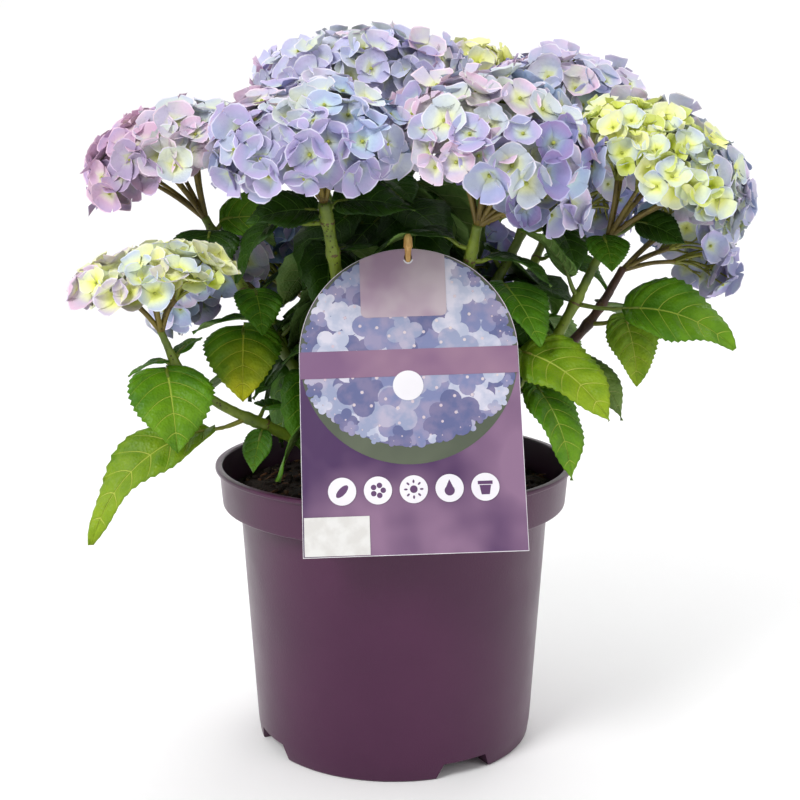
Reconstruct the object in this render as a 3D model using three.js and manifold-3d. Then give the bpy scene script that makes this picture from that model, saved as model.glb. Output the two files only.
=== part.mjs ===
// Mophead hydrangea in a plastic nursery pot, with its care label on a wooden stick.
// Millimetres, +Z up. The origin is the middle of the pot's underside, and the
// front of the plant, where the label leans on the rim, faces -Y.

import * as THREE from 'three';
import { mergeVertices } from 'three/addons/utils/BufferGeometryUtils.js';
import Module from 'manifold-3d';

const wasm = await Module();
wasm.setup();

const CLEARANCE = 0.35;
const JOINT_GAP = 0.6;
const UP = new THREE.Vector3(0, 0, 1);

// Pot: a 23 cm container with a collar, four feet and a drain channel between each two
const POT_SIDES = 36;
const POT_HEIGHT = 181.6;
const LIP_RADIUS = 115;
const LIP_HEIGHT = 3;
const COLLAR_RADIUS = 112.5;
const COLLAR_FOOT_RADIUS = 110.5;
const COLLAR_BOTTOM = 156.5;
const BODY_TOP_RADIUS = 99.5;
const BODY_FOOT_RADIUS = 90.5;
const WALL = 2;
const FOOT_HEIGHT = 10;
const FOOT_RADIUS = 89;
const FOOT_INNER_RADIUS = 76;
const FLOOR_TOP = 12.5;
const CENTRE_PAD_RADIUS = 22;
const CHANNELS = 4;
const CHANNEL_HEADING = -60.5;
const CHANNEL_WIDTH_BELOW = 40;
const CHANNEL_WIDTH_ABOVE = 30;

// Compost: fills the pot to a little below the lip
const SOIL_TOP = 160;
const SOIL_MOUND = 1.5;
const SOIL_RINGS = [92, 70, 48];
const SOIL_LUMP = 2.4;

// Woody base: the low crown of old wood that all the stems stand on
const BASE_RADIUS = 37;
const BASE_TOP_RADIUS = 30;
const BASE_HEIGHT = 13;

// Care label: a card with a round top, hung on a stick and leaning on the rim
const CARD_WIDTH = 127;
const CARD_HEIGHT = 178;
const CARD_THICKNESS = 0.9;
const CARD_LEAN = 23.3;
const CARD_ROLL = 2;
const CARD_MIDDLE_X = 13;
const CARD_BOTTOM_BELOW_LIP = 25;
const STICK_RADIUS = 2.8;
const STICK_NECK_RADIUS = 2;
const STICK_TOP = 330;
const STICK_TIP_LENGTH = 13;
const STICK_NECK_LENGTH = 4;
const STICK_X = 8.6;
const STICK_TOP_Y = -60;
const STICK_SOIL_Y = -80;
const STICK_DEPTH = 50;

// Stems, leaves and flower heads
const STEM_ROOT_RADIUS = 4.6;
const STEM_FORK_RADIUS = 2.9;
const STEM_SIDES = 6;
const BOUGH_STEPS = 4;
const SHOOT_STEPS = 5;
const NECK_SHARE = 0.955;
const OUTER_RING = 23.5;
const INNER_RING = 9.6;
const LEAF_THICKNESS = 1;
const LEAF_STEPS = 4;
const LEAF_FOLD = 14;
const LEAF_TIP_WIDTH = 1.6;
const BLADE_BASE_POWER = 0.55;
const BLADE_TIP_POWER = 0.8;
const STALK_WIDTH = 2.8;
const RAYS = 4;
const RAY_RADIUS = 1.5;
const RAY_POLAR = 88;
const RAY_TURN = 20;
const CORE_SHARE = 0.8;
const FLORET_RADIUS = 15.5;
const FLORET_DEPTH = 23;
const FLORET_AREA = 1000;
const FLORET_CUP = 1.5;
const FLORET_LIFT = 3;
const SKIRT_ANGLE = 104;
const SKIRT_SHARE = 0.7;
const GOLDEN_ANGLE = 137.508;

const radians = THREE.MathUtils.degToRad;
const vector = ([x, y, z]) => new THREE.Vector3(x, y, z);

// A small seeded generator, so that the plant grows the same way every time
function seeded(seed) {
  let state = seed;
  return () => {
    state = (state * 1664525 + 1013904223) % 4294967296;
    return state / 4294967296;
  };
}

// A unit vector from a heading in plan and a pitch above the level
function pointing(heading, pitch) {
  const level = Math.cos(radians(pitch));
  return new THREE.Vector3(
    level * Math.cos(radians(heading)),
    level * Math.sin(radians(heading)),
    Math.sin(radians(pitch)),
  );
}

// Closed geometry to a solid: only positions, shared corners merged, no empty faces
function solid(geometry) {
  const bare = geometry.clone();
  bare.deleteAttribute('normal');
  bare.deleteAttribute('uv');
  const merged = mergeVertices(bare, 1e-4);
  const index = merged.index.array;
  const faces = [];
  for (let i = 0; i < index.length; i += 3) {
    const [a, b, c] = [index[i], index[i + 1], index[i + 2]];
    if (a !== b && b !== c && c !== a) faces.push(a, b, c);
  }
  return new wasm.Manifold(new wasm.Mesh({
    numProp: 3,
    vertProperties: new Float32Array(merged.attributes.position.array),
    triVerts: new Uint32Array(faces),
  }));
}

// One body from many that run into each other; a scrap that is left loose is dropped
function join(solids) {
  const whole = solids.reduce((sum, piece) => sum.add(piece));
  return whole.decompose().reduce((a, b) => (a.volume() > b.volume() ? a : b));
}

function meshOf(name, piece, material) {
  const { vertProperties, triVerts } = piece.getMesh();
  const geometry = new THREE.BufferGeometry();
  geometry.setAttribute('position', new THREE.BufferAttribute(vertProperties, 3));
  geometry.setIndex(new THREE.BufferAttribute(triVerts, 1));
  geometry.computeVertexNormals();
  const mesh = new THREE.Mesh(geometry, material);
  mesh.name = name;
  return mesh;
}

function finish(colour, roughness) {
  return new THREE.MeshStandardMaterial({ color: colour, roughness, metalness: 0 });
}

const finishes = {
  pot: finish('#56304a', 0.45),
  soil: finish('#2a1a12', 0.95),
  wood: finish('#6b5a34', 0.8),
  stem: finish('#66752c', 0.6),
  leaf: finish('#3f7a22', 0.5),
  card: finish('#6a4377', 0.35),
  stick: finish('#d9a962', 0.7),
};

// Lathe profile in radius and height, turned so that its axis is +Z
function turned(profile, sides) {
  const points = profile.map(([radius, height]) => new THREE.Vector2(radius, height));
  return new THREE.LatheGeometry(points, sides).rotateX(Math.PI / 2);
}

// Inner wall radius of the pot's body at a height
function innerRadius(height) {
  const share = (height - FOOT_HEIGHT) / (COLLAR_BOTTOM - FOOT_HEIGHT);
  return THREE.MathUtils.lerp(BODY_FOOT_RADIUS, BODY_TOP_RADIUS, share) - WALL;
}

function potWall() {
  const collarInner = COLLAR_FOOT_RADIUS - WALL;
  return turned([
    [0, 0],
    [CENTRE_PAD_RADIUS, 0],
    [CENTRE_PAD_RADIUS + 2, FOOT_HEIGHT],
    [FOOT_INNER_RADIUS, FOOT_HEIGHT],
    [FOOT_INNER_RADIUS + 1, 0],
    [FOOT_RADIUS, 0],
    [BODY_FOOT_RADIUS, FOOT_HEIGHT],
    [BODY_TOP_RADIUS, COLLAR_BOTTOM - 1],
    [COLLAR_FOOT_RADIUS, COLLAR_BOTTOM],
    [COLLAR_RADIUS, POT_HEIGHT - LIP_HEIGHT],
    [LIP_RADIUS, POT_HEIGHT - LIP_HEIGHT * 0.8],
    [LIP_RADIUS, POT_HEIGHT - LIP_HEIGHT * 0.2],
    [LIP_RADIUS - 1, POT_HEIGHT],
    [COLLAR_RADIUS - WALL, POT_HEIGHT],
    [collarInner, COLLAR_BOTTOM + WALL],
    [innerRadius(COLLAR_BOTTOM - 2), COLLAR_BOTTOM - 2],
    [innerRadius(FLOOR_TOP), FLOOR_TOP],
    [0, FLOOR_TOP],
  ], POT_SIDES);
}

// One drain channel: wider below than above, cut out through the foot ring
function drainChannel(heading) {
  const outline = new THREE.Shape([
    new THREE.Vector2(-CHANNEL_WIDTH_BELOW / 2, -1),
    new THREE.Vector2(CHANNEL_WIDTH_BELOW / 2, -1),
    new THREE.Vector2(CHANNEL_WIDTH_ABOVE / 2, FOOT_HEIGHT - 0.2),
    new THREE.Vector2(-CHANNEL_WIDTH_ABOVE / 2, FOOT_HEIGHT - 0.2),
  ]);
  const reach = BODY_FOOT_RADIUS + 4 - (FOOT_INNER_RADIUS - 6);
  const channel = new THREE.ExtrudeGeometry(outline, { depth: reach, bevelEnabled: false });
  channel.rotateX(Math.PI / 2).translate(0, -(FOOT_INNER_RADIUS - 6), 0);
  return channel.rotateZ(radians(heading + 90));
}

function buildPot() {
  let pot = solid(potWall());
  for (let i = 0; i < CHANNELS; i++) {
    pot = pot.subtract(solid(drainChannel(CHANNEL_HEADING + i * 360 / CHANNELS)));
  }
  return pot;
}

function buildSoil() {
  const collarInner = COLLAR_FOOT_RADIUS - WALL - CLEARANCE;
  const side = [
    [0, FLOOR_TOP + CLEARANCE],
    [innerRadius(FLOOR_TOP) - CLEARANCE, FLOOR_TOP + CLEARANCE],
    [innerRadius(COLLAR_BOTTOM - 2) - CLEARANCE, COLLAR_BOTTOM - 2 + CLEARANCE],
    [collarInner, COLLAR_BOTTOM + WALL + CLEARANCE],
    [collarInner, SOIL_TOP],
  ];
  const top = SOIL_RINGS.map((radius) => [radius, SOIL_TOP + SOIL_MOUND]);
  const soil = turned([...side, ...top, [0, SOIL_TOP + SOIL_MOUND]], POT_SIDES);
  const spot = soil.attributes.position;
  const perSpoke = side.length + top.length + 1;
  const lumpy = (ring) => ring >= side.length && ring < side.length + top.length - 1;
  const random = seeded(7);
  const lumps = Array.from({ length: POT_SIDES * perSpoke }, () => random() - 0.5);
  for (let i = 0; i < spot.count; i++) {
    const ring = i % perSpoke;
    const spoke = Math.floor(i / perSpoke) % POT_SIDES;
    if (lumpy(ring)) spot.setZ(i, spot.getZ(i) + SOIL_LUMP * lumps[spoke * perSpoke + ring]);
  }
  return solid(soil).subtract(solid(stickShape(CLEARANCE)));
}

function buildWoodyBase() {
  const foot = SOIL_TOP + SOIL_MOUND + CLEARANCE;
  return solid(turned([
    [0, foot],
    [BASE_RADIUS, foot],
    [BASE_RADIUS - 2, foot + BASE_HEIGHT * 0.35],
    [BASE_TOP_RADIUS + 1, foot + BASE_HEIGHT * 0.8],
    [BASE_TOP_RADIUS, foot + BASE_HEIGHT],
    [0, foot + BASE_HEIGHT],
  ], 20));
}

const stemFoot = SOIL_TOP + SOIL_MOUND + BASE_HEIGHT + CLEARANCE * 2;

// The label card stands in its own frame first: x across, y up the card, z its face
function buildCard() {
  const half = CARD_WIDTH / 2;
  const shoulder = CARD_HEIGHT - half;
  const outline = new THREE.Shape();
  outline.moveTo(-half, 0);
  outline.lineTo(half, 0);
  outline.lineTo(half, shoulder);
  outline.absarc(0, shoulder, half, 0, Math.PI, false);
  outline.lineTo(-half, 0);
  const card = new THREE.ExtrudeGeometry(outline, {
    depth: CARD_THICKNESS,
    bevelEnabled: false,
    curveSegments: 20,
  });
  const lean = radians(CARD_LEAN);
  const bottom = POT_HEIGHT - CARD_BOTTOM_BELOW_LIP;
  const contact = -(LIP_RADIUS + CLEARANCE) - CARD_THICKNESS / Math.cos(lean);
  const bottomY = contact - CARD_BOTTOM_BELOW_LIP * Math.tan(lean);
  card.rotateZ(radians(CARD_ROLL)).rotateX(Math.PI / 2 - lean);
  card.translate(CARD_MIDDLE_X, bottomY + CARD_THICKNESS, bottom);
  return solid(card).subtract(solid(stickShape(CLEARANCE)));
}

// The stick: a plain round peg in the soil, a neck for the slot and a rounded tip
function stickShape(margin) {
  const neck = STICK_NECK_RADIUS + margin;
  const full = STICK_RADIUS + margin;
  const top = new THREE.Vector3(STICK_X, STICK_TOP_Y, STICK_TOP);
  const atSoil = new THREE.Vector3(STICK_X, STICK_SOIL_Y, SOIL_TOP);
  const along = top.clone().sub(atSoil);
  const length = along.length() + STICK_DEPTH;
  const tipFoot = length - STICK_TIP_LENGTH;
  const stick = turned([
    [0, -margin],
    [full * 0.5, -margin],
    [full, 6],
    [full, tipFoot - STICK_NECK_LENGTH - 2],
    [neck, tipFoot - STICK_NECK_LENGTH],
    [neck, tipFoot],
    [full, tipFoot + 2],
    [full * 0.85, length - 2],
    [full * 0.5, length + margin],
    [0, length + margin],
  ], 12);
  const turn = new THREE.Quaternion().setFromUnitVectors(UP, along.clone().normalize());
  const foot = top.clone().addScaledVector(along.normalize(), -length);
  return stick.applyQuaternion(turn).translate(foot.x, foot.y, foot.z);
}

// A tapering limb along a curve, from one share of its length to another
function limb(curve, from, to, radiusFrom, radiusTo, steps, sides) {
  const points = [];
  for (let i = 0; i <= steps; i++) points.push(curve.getPointAt(from + (to - from) * i / steps));
  const route = new THREE.CatmullRomCurve3(points);
  const frames = route.computeFrenetFrames(steps, false);
  const tube = new THREE.CylinderGeometry(1, 1, 1, sides, steps);
  const spot = tube.attributes.position;
  for (let i = 0; i < spot.count; i++) {
    const share = spot.getY(i) + 0.5;
    const ring = Math.round(share * steps);
    const radius = THREE.MathUtils.lerp(radiusFrom, radiusTo, share);
    const place = route.getPointAt(share);
    place.addScaledVector(frames.binormals[ring], spot.getX(i) * radius);
    place.addScaledVector(frames.normals[ring], spot.getZ(i) * radius);
    spot.setXYZ(i, place.x, place.y, place.z);
  }
  return solid(tube);
}

// Half the width of an ovate blade at a share of its length, for a full width of 1
function bladeHalfWidth(share) {
  const curve = (s) => Math.pow(s, BLADE_BASE_POWER) * Math.pow(1 - s, BLADE_TIP_POWER);
  const widest = BLADE_BASE_POWER / (BLADE_BASE_POWER + BLADE_TIP_POWER);
  return 0.5 * curve(share) / curve(widest);
}

// The midrib of a blade in its own upright plane: how far out and how far up it is
function midrib(length, pitch, droop, share) {
  const start = radians(pitch);
  const bend = radians(droop);
  return {
    out: length * (Math.sin(start) - Math.sin(start - bend * share)) / bend,
    rise: length * (Math.cos(start - bend * share) - Math.cos(start)) / bend,
    pitch: pitch - droop * share,
  };
}

// A leaf in one strip: a stalk rooted at the middle of the stem, then an ovate blade,
// thin, folded a little along its midrib and arching over
function leaf(curve, { at, stalk, heading, pitch, length, width, droop, roll }) {
  const root = curve.getPointAt(at);
  const base = root.clone().addScaledVector(pointing(stalk.heading, stalk.pitch), stalk.length);
  const strip = new THREE.BoxGeometry(2, 1, 1, 2, LEAF_STEPS + 1, 1);
  const spot = strip.attributes.position;
  const level = pointing(heading, 0);
  for (let i = 0; i < spot.count; i++) {
    const side = spot.getX(i);
    const station = Math.round((spot.getY(i) + 0.5) * (LEAF_STEPS + 1)) - 1;
    const share = Math.max(station, 0) / LEAF_STEPS;
    const rib = midrib(length, pitch, droop, share);
    const along = pointing(heading, rib.pitch);
    const across = new THREE.Vector3(level.y, -level.x, 0);
    const face = across.clone().cross(along);
    across.applyAxisAngle(along, radians(roll));
    face.applyAxisAngle(along, radians(roll));
    const onStalk = station <= 0;
    const narrowest = (onStalk ? STALK_WIDTH : LEAF_TIP_WIDTH) / 2;
    const reach = Math.max(bladeHalfWidth(share) * width, narrowest);
    const thickness = onStalk ? STALK_WIDTH * 0.9 : LEAF_THICKNESS;
    const fold = onStalk ? 0 : radians(LEAF_FOLD);
    const place = (station < 0 ? root : base).clone();
    place.addScaledVector(level, rib.out).addScaledVector(UP, rib.rise);
    place.addScaledVector(across, side * reach * Math.cos(fold));
    place.addScaledVector(face, Math.abs(side) * reach * Math.sin(fold));
    place.addScaledVector(face, spot.getZ(i) * thickness);
    spot.setXYZ(i, place.x, place.y, place.z);
  }
  return solid(strip);
}

// Directions of a flower head: its axis leans from upright towards a heading
function headFrame(head) {
  const axis = pointing(head.heading, 90 - head.lean);
  const across = new THREE.Vector3().crossVectors(pointing(head.heading + 90, 0), axis);
  return { axis, across, beside: new THREE.Vector3().crossVectors(axis, across) };
}

// A point on the cap of a flower head, with the way that the cap faces there
function onHead(head, frame, polar, turn) {
  const out = Math.sin(radians(polar));
  const up = Math.cos(radians(polar));
  const rise = up > 0 ? head.rise : head.rise * SKIRT_SHARE;
  const round = frame.across.clone().multiplyScalar(Math.cos(radians(turn)));
  round.addScaledVector(frame.beside, Math.sin(radians(turn)));
  const place = vector(head.centre).addScaledVector(round, head.radius * out);
  place.addScaledVector(frame.axis, rise * up);
  const facing = round.multiplyScalar(out / head.radius).addScaledVector(frame.axis, up / rise);
  return { place, facing: facing.normalize() };
}

// Whether a point lies within a flower head's space, grown by a margin
function within(head, point, margin) {
  const frame = headFrame(head);
  const offset = point.clone().sub(vector(head.centre));
  const up = offset.dot(frame.axis) / (head.rise + margin);
  const level = head.radius + margin;
  const x = offset.dot(frame.across) / level;
  const y = offset.dot(frame.beside) / level;
  return x * x + y * y + up * up < 1;
}

// A floret: four corners for its four sepals, a dished face and a stalk that sinks in
function floret(place, facing, spin, radius) {
  const cone = new THREE.ConeGeometry(radius, FLORET_DEPTH, 4, 1);
  cone.rotateX(-Math.PI / 2).rotateZ(radians(spin));
  const spot = cone.attributes.position;
  for (let i = 0; i < spot.count; i++) {
    const fromMiddle = Math.hypot(spot.getX(i), spot.getY(i));
    const onFace = spot.getZ(i) > 0;
    if (onFace && fromMiddle < 0.1) spot.setZ(i, spot.getZ(i) - FLORET_CUP);
  }
  cone.translate(0, 0, -FLORET_DEPTH / 2);
  const turn = new THREE.Quaternion().setFromUnitVectors(UP, facing);
  return solid(cone.applyQuaternion(turn).translate(place.x, place.y, place.z));
}

// The core of a flower head: a flattened ball inside the shell of florets
function headCore(head, frame) {
  const ball = new THREE.SphereGeometry(1, 8, 5);
  const spot = ball.attributes.position;
  for (let i = 0; i < spot.count; i++) {
    const up = spot.getY(i);
    const rise = head.rise * (up > 0 ? 1 : SKIRT_SHARE * 0.5) * CORE_SHARE;
    const place = vector(head.centre).addScaledVector(frame.axis, up * rise);
    place.addScaledVector(frame.across, spot.getZ(i) * head.radius * CORE_SHARE);
    place.addScaledVector(frame.beside, spot.getX(i) * head.radius * CORE_SHARE);
    spot.setXYZ(i, place.x, place.y, place.z);
  }
  return solid(ball);
}

// The mass of one flower head: its neck, its rays, the core and the florets
function buildHead(shoot, curve, neckStart, neighbours) {
  const head = shoot.head;
  const frame = headFrame(head);
  const fork = curve.getPointAt(1);
  const random = seeded(shoot.seed);
  const pieces = [headCore(head, frame)];
  pieces.push(limb(curve, neckStart, 1, STEM_FORK_RADIUS, STEM_FORK_RADIUS * 0.9, 1, STEM_SIDES));
  for (let i = 0; i < RAYS; i++) {
    const { place } = onHead(head, frame, RAY_POLAR, i * 360 / RAYS + RAY_TURN);
    const end = vector(head.centre).lerp(place, 0.5);
    const ray = new THREE.CatmullRomCurve3([fork, fork.clone().lerp(end, 0.5), end]);
    pieces.push(limb(ray, 0, 1, RAY_RADIUS * 1.3, RAY_RADIUS, 1, 3));
  }
  const share = 1 - Math.cos(radians(SKIRT_ANGLE));
  const count = Math.round(Math.PI * share * head.radius * (head.radius + head.rise) / FLORET_AREA);
  for (let i = 0; i < count; i++) {
    const polar = THREE.MathUtils.radToDeg(Math.acos(1 - share * (i + 0.5) / count));
    const spin = random() * 90;
    const lift = (random() - 0.5) * FLORET_LIFT;
    const { place, facing } = onHead(head, frame, polar, i * GOLDEN_ANGLE);
    place.addScaledVector(facing, lift);
    if (!neighbours.some((other) => within(other, place, FLORET_RADIUS))) {
      pieces.push(floret(place, facing, spin, FLORET_RADIUS));
    }
  }
  return join(pieces);
}

// Shorthand for a leaf: where on the shoot, its stalk, then its blade
function onStem(at, stalk, blade, roll = 0) {
  const [stalkHeading, stalkPitch, stalkLength] = stalk;
  const [heading, pitch, length, width, droop] = blade;
  return {
    at,
    stalk: { heading: stalkHeading, pitch: stalkPitch, length: stalkLength },
    heading, pitch, length, width, droop, roll,
  };
}

// Where a shoot stands on the woody base: a heading round one of two rings
function standing(ring, heading) {
  const [x, y] = [ring * Math.cos(radians(heading)), ring * Math.sin(radians(heading))];
  return [x, y, stemFoot - 3];
}

// The shoots, front ones first: a later head leaves out the florets that would run
// into an earlier one. A leaf's line gives its place along the shoot, its stalk
// (heading, pitch, length) and its blade (heading, pitch, length, width, droop).
const shoots = [
  {
    name: 'front_left',
    seed: 11,
    colour: '#a9a6d2',
    route: [standing(OUTER_RING, 252), [-28, -38, 262], [-35, -50, 314], [-40, -64, 350]],
    head: { centre: [-46, -80, 378], radius: 56, rise: 41, heading: 250, lean: 10 },
    leavesFrom: 0.4,
    leaves: [
      onStem(0.93, [155, 0, 34], [205, -30, 46, 32, 50]),
      onStem(0.5, [195, 10, 10], [195, 0, 34, 30, 40]),
      onStem(0.82, [60, 15, 8], [60, 5, 40, 34, 45]),
    ],
  },
  {
    name: 'front_right',
    seed: 12,
    colour: '#c3bfe0',
    route: [standing(OUTER_RING, 306), [31, -38, 262], [45, -52, 314], [49, -64, 337]],
    head: { centre: [56, -74, 377], radius: 59, rise: 46, heading: 300, lean: 12 },
    leavesFrom: 0.4,
    leaves: [
      onStem(0.9, [165, 25, 16], [165, 15, 50, 40, 60]),
      onStem(0.86, [-15, 5, 12], [-18, 5, 42, 32, 55]),
      onStem(0.7, [14, 18, 31], [-60, -25, 52, 40, 30]),
      onStem(0.76, [110, 15, 8], [110, 0, 46, 38, 45]),
    ],
  },
  {
    name: 'left_low',
    seed: 13,
    colour: '#dde0a8',
    route: [standing(OUTER_RING, 217), [-57, -44, 203], [-106, -67, 233], [-124, -74, 251], [-135, -78, 277]],
    head: { centre: [-138, -82, 299], radius: 48, rise: 30, heading: 205, lean: 8 },
    leavesFrom: 0.34,
    leaves: [
      onStem(0.86, [-120, 0, 10], [-72, -15, 58, 48, 40]),
      onStem(0.9, [40, 25, 5], [50, 35, 20, 14, 30]),
      onStem(0.88, [200, 10, 5], [200, 0, 24, 16, 40]),
      onStem(0.55, [215, -8, 30], [211, -4, 98, 38, 72], -20),
      onStem(0.52, [20, 50, 14], [-18, -5, 54, 46, 25], 55),
      onStem(0.48, [-110, -30, 6], [-110, -50, 26, 20, 20]),
    ],
  },
  {
    name: 'left_high',
    seed: 14,
    colour: '#c3a2c6',
    route: [standing(OUTER_RING, 188), [-52, -16, 228], [-88, -24, 287], [-116, -16, 338]],
    head: { centre: [-138, -12, 370], radius: 52, rise: 37, heading: 188, lean: 24 },
    leavesFrom: 0.42,
    leaves: [
      onStem(0.93, [-105, 22, 9], [-95, 5, 34, 38, 25]),
      onStem(0.92, [60, 20, 12], [50, 10, 44, 34, 50]),
      onStem(0.62, [225, -10, 16], [-86, -10, 56, 46, 50]),
      onStem(0.62, [150, 5, 10], [168, 0, 40, 32, 30]),
      onStem(0.74, [-40, 0, 10], [-75, -20, 36, 30, 50]),
      onStem(0.84, [20, 10, 10], [10, -5, 42, 34, 40]),
    ],
  },
  {
    name: 'right_high',
    seed: 15,
    colour: '#d6dc9a',
    route: [standing(OUTER_RING, 345), [60, -12, 215], [95, -18, 254], [111, -20, 283], [132, -20, 327]],
    head: { centre: [156, -22, 360], radius: 61, rise: 46, heading: -8, lean: 28 },
    leavesFrom: 0.3,
    leaves: [
      onStem(0.76, [-18, -3, 34], [-13, 5, 70, 50, 50], 40),
      onStem(0.78, [215, 60, 18], [205, 60, 46, 26, 40]),
      onStem(0.55, [-112, 14, 40], [-41, -6, 72, 46, 45], 25),
      onStem(0.4, [-74, 14, 46], [-58, -30, 64, 36, 50]),
      onStem(0.92, [-100, 10, 7], [-80, -30, 25, 24, 40]),
    ],
  },
  {
    name: 'right_low',
    seed: 16,
    colour: '#8e8cc2',
    route: [standing(OUTER_RING, 15), [60, 9, 208], [107, 10, 249], [129, 19, 271], [150, 33, 302]],
    head: { centre: [194, 50, 310], radius: 42, rise: 32, heading: 12, lean: 55 },
    leavesFrom: 0.36,
    leaves: [
      onStem(0.76, [-15, 12, 24], [-75, -40, 48, 36, 45]),
      onStem(0.56, [-40, 0, 8], [-14, 0, 58, 28, 80], 45),
      onStem(0.5, [75, 15, 14], [70, 10, 52, 40, 55]),
      onStem(0.84, [60, 0, 8], [40, -10, 44, 34, 40]),
    ],
  },
  {
    name: 'top',
    seed: 17,
    colour: '#b9b4da',
    route: [standing(INNER_RING, 250), [-8, 8, 255], [-13, 26, 330], [-16, 40, 390]],
    head: { centre: [-20, 42, 424], radius: 69, rise: 37, heading: 120, lean: 5 },
    leavesFrom: 0.5,
    leaves: [
      onStem(0.84, [-60, 20, 10], [-60, 10, 46, 34, 50]),
      onStem(0.82, [190, 15, 12], [190, 5, 52, 38, 50]),
      onStem(0.88, [60, 20, 10], [60, 10, 44, 34, 50]),
    ],
  },
  {
    name: 'right_top',
    seed: 18,
    colour: '#a7b3dc',
    route: [standing(INNER_RING, 350), [38, 12, 245], [78, 30, 315], [104, 45, 370]],
    head: { centre: [110, 55, 404], radius: 55, rise: 38, heading: 25, lean: 14 },
    leavesFrom: 0.5,
    leaves: [
      onStem(0.86, [-50, 15, 8], [-55, 0, 36, 28, 50]),
      onStem(0.84, [110, 15, 10], [115, 5, 36, 28, 50]),
    ],
  },
  {
    name: 'left_back',
    seed: 19,
    colour: '#b9bce0',
    route: [standing(OUTER_RING, 157), [-50, 20, 222], [-74, 28, 256], [-86, 33, 282]],
    head: { centre: [-120, 33, 289], radius: 40, rise: 30, heading: 172, lean: 35 },
    leavesFrom: 0.42,
    leaves: [
      onStem(0.84, [80, 15, 8], [85, 0, 32, 28, 45]),
      onStem(0.62, [165, 10, 14], [170, -5, 74, 50, 55]),
      onStem(0.55, [-20, 15, 8], [-35, 0, 34, 30, 50]),
    ],
  },
  {
    name: 'back_left_low',
    seed: 20,
    colour: '#7f98b4',
    route: [standing(OUTER_RING, 125), [-34, 42, 226], [-50, 66, 268]],
    head: { centre: [-76, 92, 296], radius: 37, rise: 31, heading: 135, lean: 30 },
    leavesFrom: 0.42,
    leaves: [
      onStem(0.8, [160, 10, 14], [165, 0, 62, 44, 55]),
      onStem(0.6, [100, 10, 14], [110, -5, 76, 52, 60]),
      onStem(0.55, [20, 15, 8], [15, 0, 24, 22, 50]),
    ],
  },
  {
    name: 'back_low',
    seed: 21,
    colour: '#9fa0cc',
    route: [standing(OUTER_RING, 82), [18, 48, 230], [38, 76, 280]],
    head: { centre: [48, 106, 302], radius: 38, rise: 30, heading: 75, lean: 30 },
    leavesFrom: 0.42,
    leaves: [
      onStem(0.62, [95, 10, 14], [92, -5, 78, 54, 60]),
      onStem(0.82, [10, 15, 10], [0, 0, 34, 28, 50]),
      onStem(0.8, [165, 10, 10], [160, 0, 40, 32, 50]),
      onStem(0.5, [40, 10, 10], [35, 0, 56, 44, 60]),
    ],
  },
  {
    name: 'back_top',
    seed: 22,
    colour: '#cfd890',
    route: [standing(INNER_RING, 70), [20, 38, 262], [34, 74, 340], [46, 100, 398]],
    head: { centre: [52, 112, 424], radius: 35, rise: 26, heading: 70, lean: 12 },
    leavesFrom: 0.55,
    leaves: [
      onStem(0.84, [70, 15, 12], [75, 0, 52, 38, 55]),
      onStem(0.82, [-110, 15, 10], [-105, 0, 38, 28, 50]),
    ],
  },
  {
    name: 'back_left_high',
    seed: 23,
    colour: '#b3b3da',
    route: [standing(INNER_RING, 150), [-16, 44, 255], [-32, 80, 318], [-50, 98, 354]],
    head: { centre: [-66, 126, 382], radius: 50, rise: 37, heading: 118, lean: 22 },
    leavesFrom: 0.5,
    leaves: [
      onStem(0.9, [190, 15, 12], [185, 5, 40, 34, 45]),
      onStem(0.88, [20, 15, 12], [20, 0, 46, 34, 55]),
    ],
  },
  {
    name: 'back_right',
    seed: 24,
    colour: '#a3a6d4',
    route: [standing(OUTER_RING, 50), [62, 50, 240], [90, 82, 286], [108, 104, 322]],
    head: { centre: [134, 132, 352], radius: 48, rise: 36, heading: 45, lean: 32 },
    leavesFrom: 0.42,
    leaves: [
      onStem(0.88, [-30, 15, 12], [-35, 0, 50, 36, 55]),
      onStem(0.6, [40, 10, 14], [45, -5, 78, 54, 60]),
      onStem(0.5, [20, 10, 12], [24, -5, 50, 40, 60]),
      onStem(0.66, [120, 10, 8], [105, 0, 40, 32, 50]),
    ],
  },
];

const group = new THREE.Group();
group.add(meshOf('pot', buildPot(), finishes.pot));
group.add(meshOf('soil', buildSoil(), finishes.soil));
group.add(meshOf('woody_base', buildWoodyBase(), finishes.wood));
group.add(meshOf('label_card', buildCard(), finishes.card));
group.add(meshOf('label_stick', solid(stickShape(0)), finishes.stick));

for (const [number, shoot] of shoots.entries()) {
  const curve = new THREE.CatmullRomCurve3(shoot.route.map(vector));
  const gap = JOINT_GAP / curve.getLength();
  const radiusAt = (share) => THREE.MathUtils.lerp(STEM_ROOT_RADIUS, STEM_FORK_RADIUS, share);
  const floor = new THREE.BoxGeometry(90, 90, 20).translate(0, 0, stemFoot - 10);
  const bough = limb(curve, 0, shoot.leavesFrom - gap / 2, STEM_ROOT_RADIUS,
    radiusAt(shoot.leavesFrom), BOUGH_STEPS, STEM_SIDES).subtract(solid(floor));
  const upper = limb(curve, shoot.leavesFrom + gap / 2, NECK_SHARE - gap / 2,
    radiusAt(shoot.leavesFrom), radiusAt(NECK_SHARE), SHOOT_STEPS, STEM_SIDES);
  const foliage = join([upper, ...shoot.leaves.map((spec) => leaf(curve, spec))]);
  const neighbours = shoots.slice(0, number).map((other) => other.head);
  const flower = buildHead(shoot, curve, NECK_SHARE + gap / 2, neighbours);
  group.add(meshOf(`stem_${shoot.name}`, bough, finishes.stem));
  group.add(meshOf(`leaves_${shoot.name}`, foliage, finishes.leaf));
  group.add(meshOf(`flower_${shoot.name}`, flower, finish(shoot.colour, 0.6)));
}

export default group;
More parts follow.
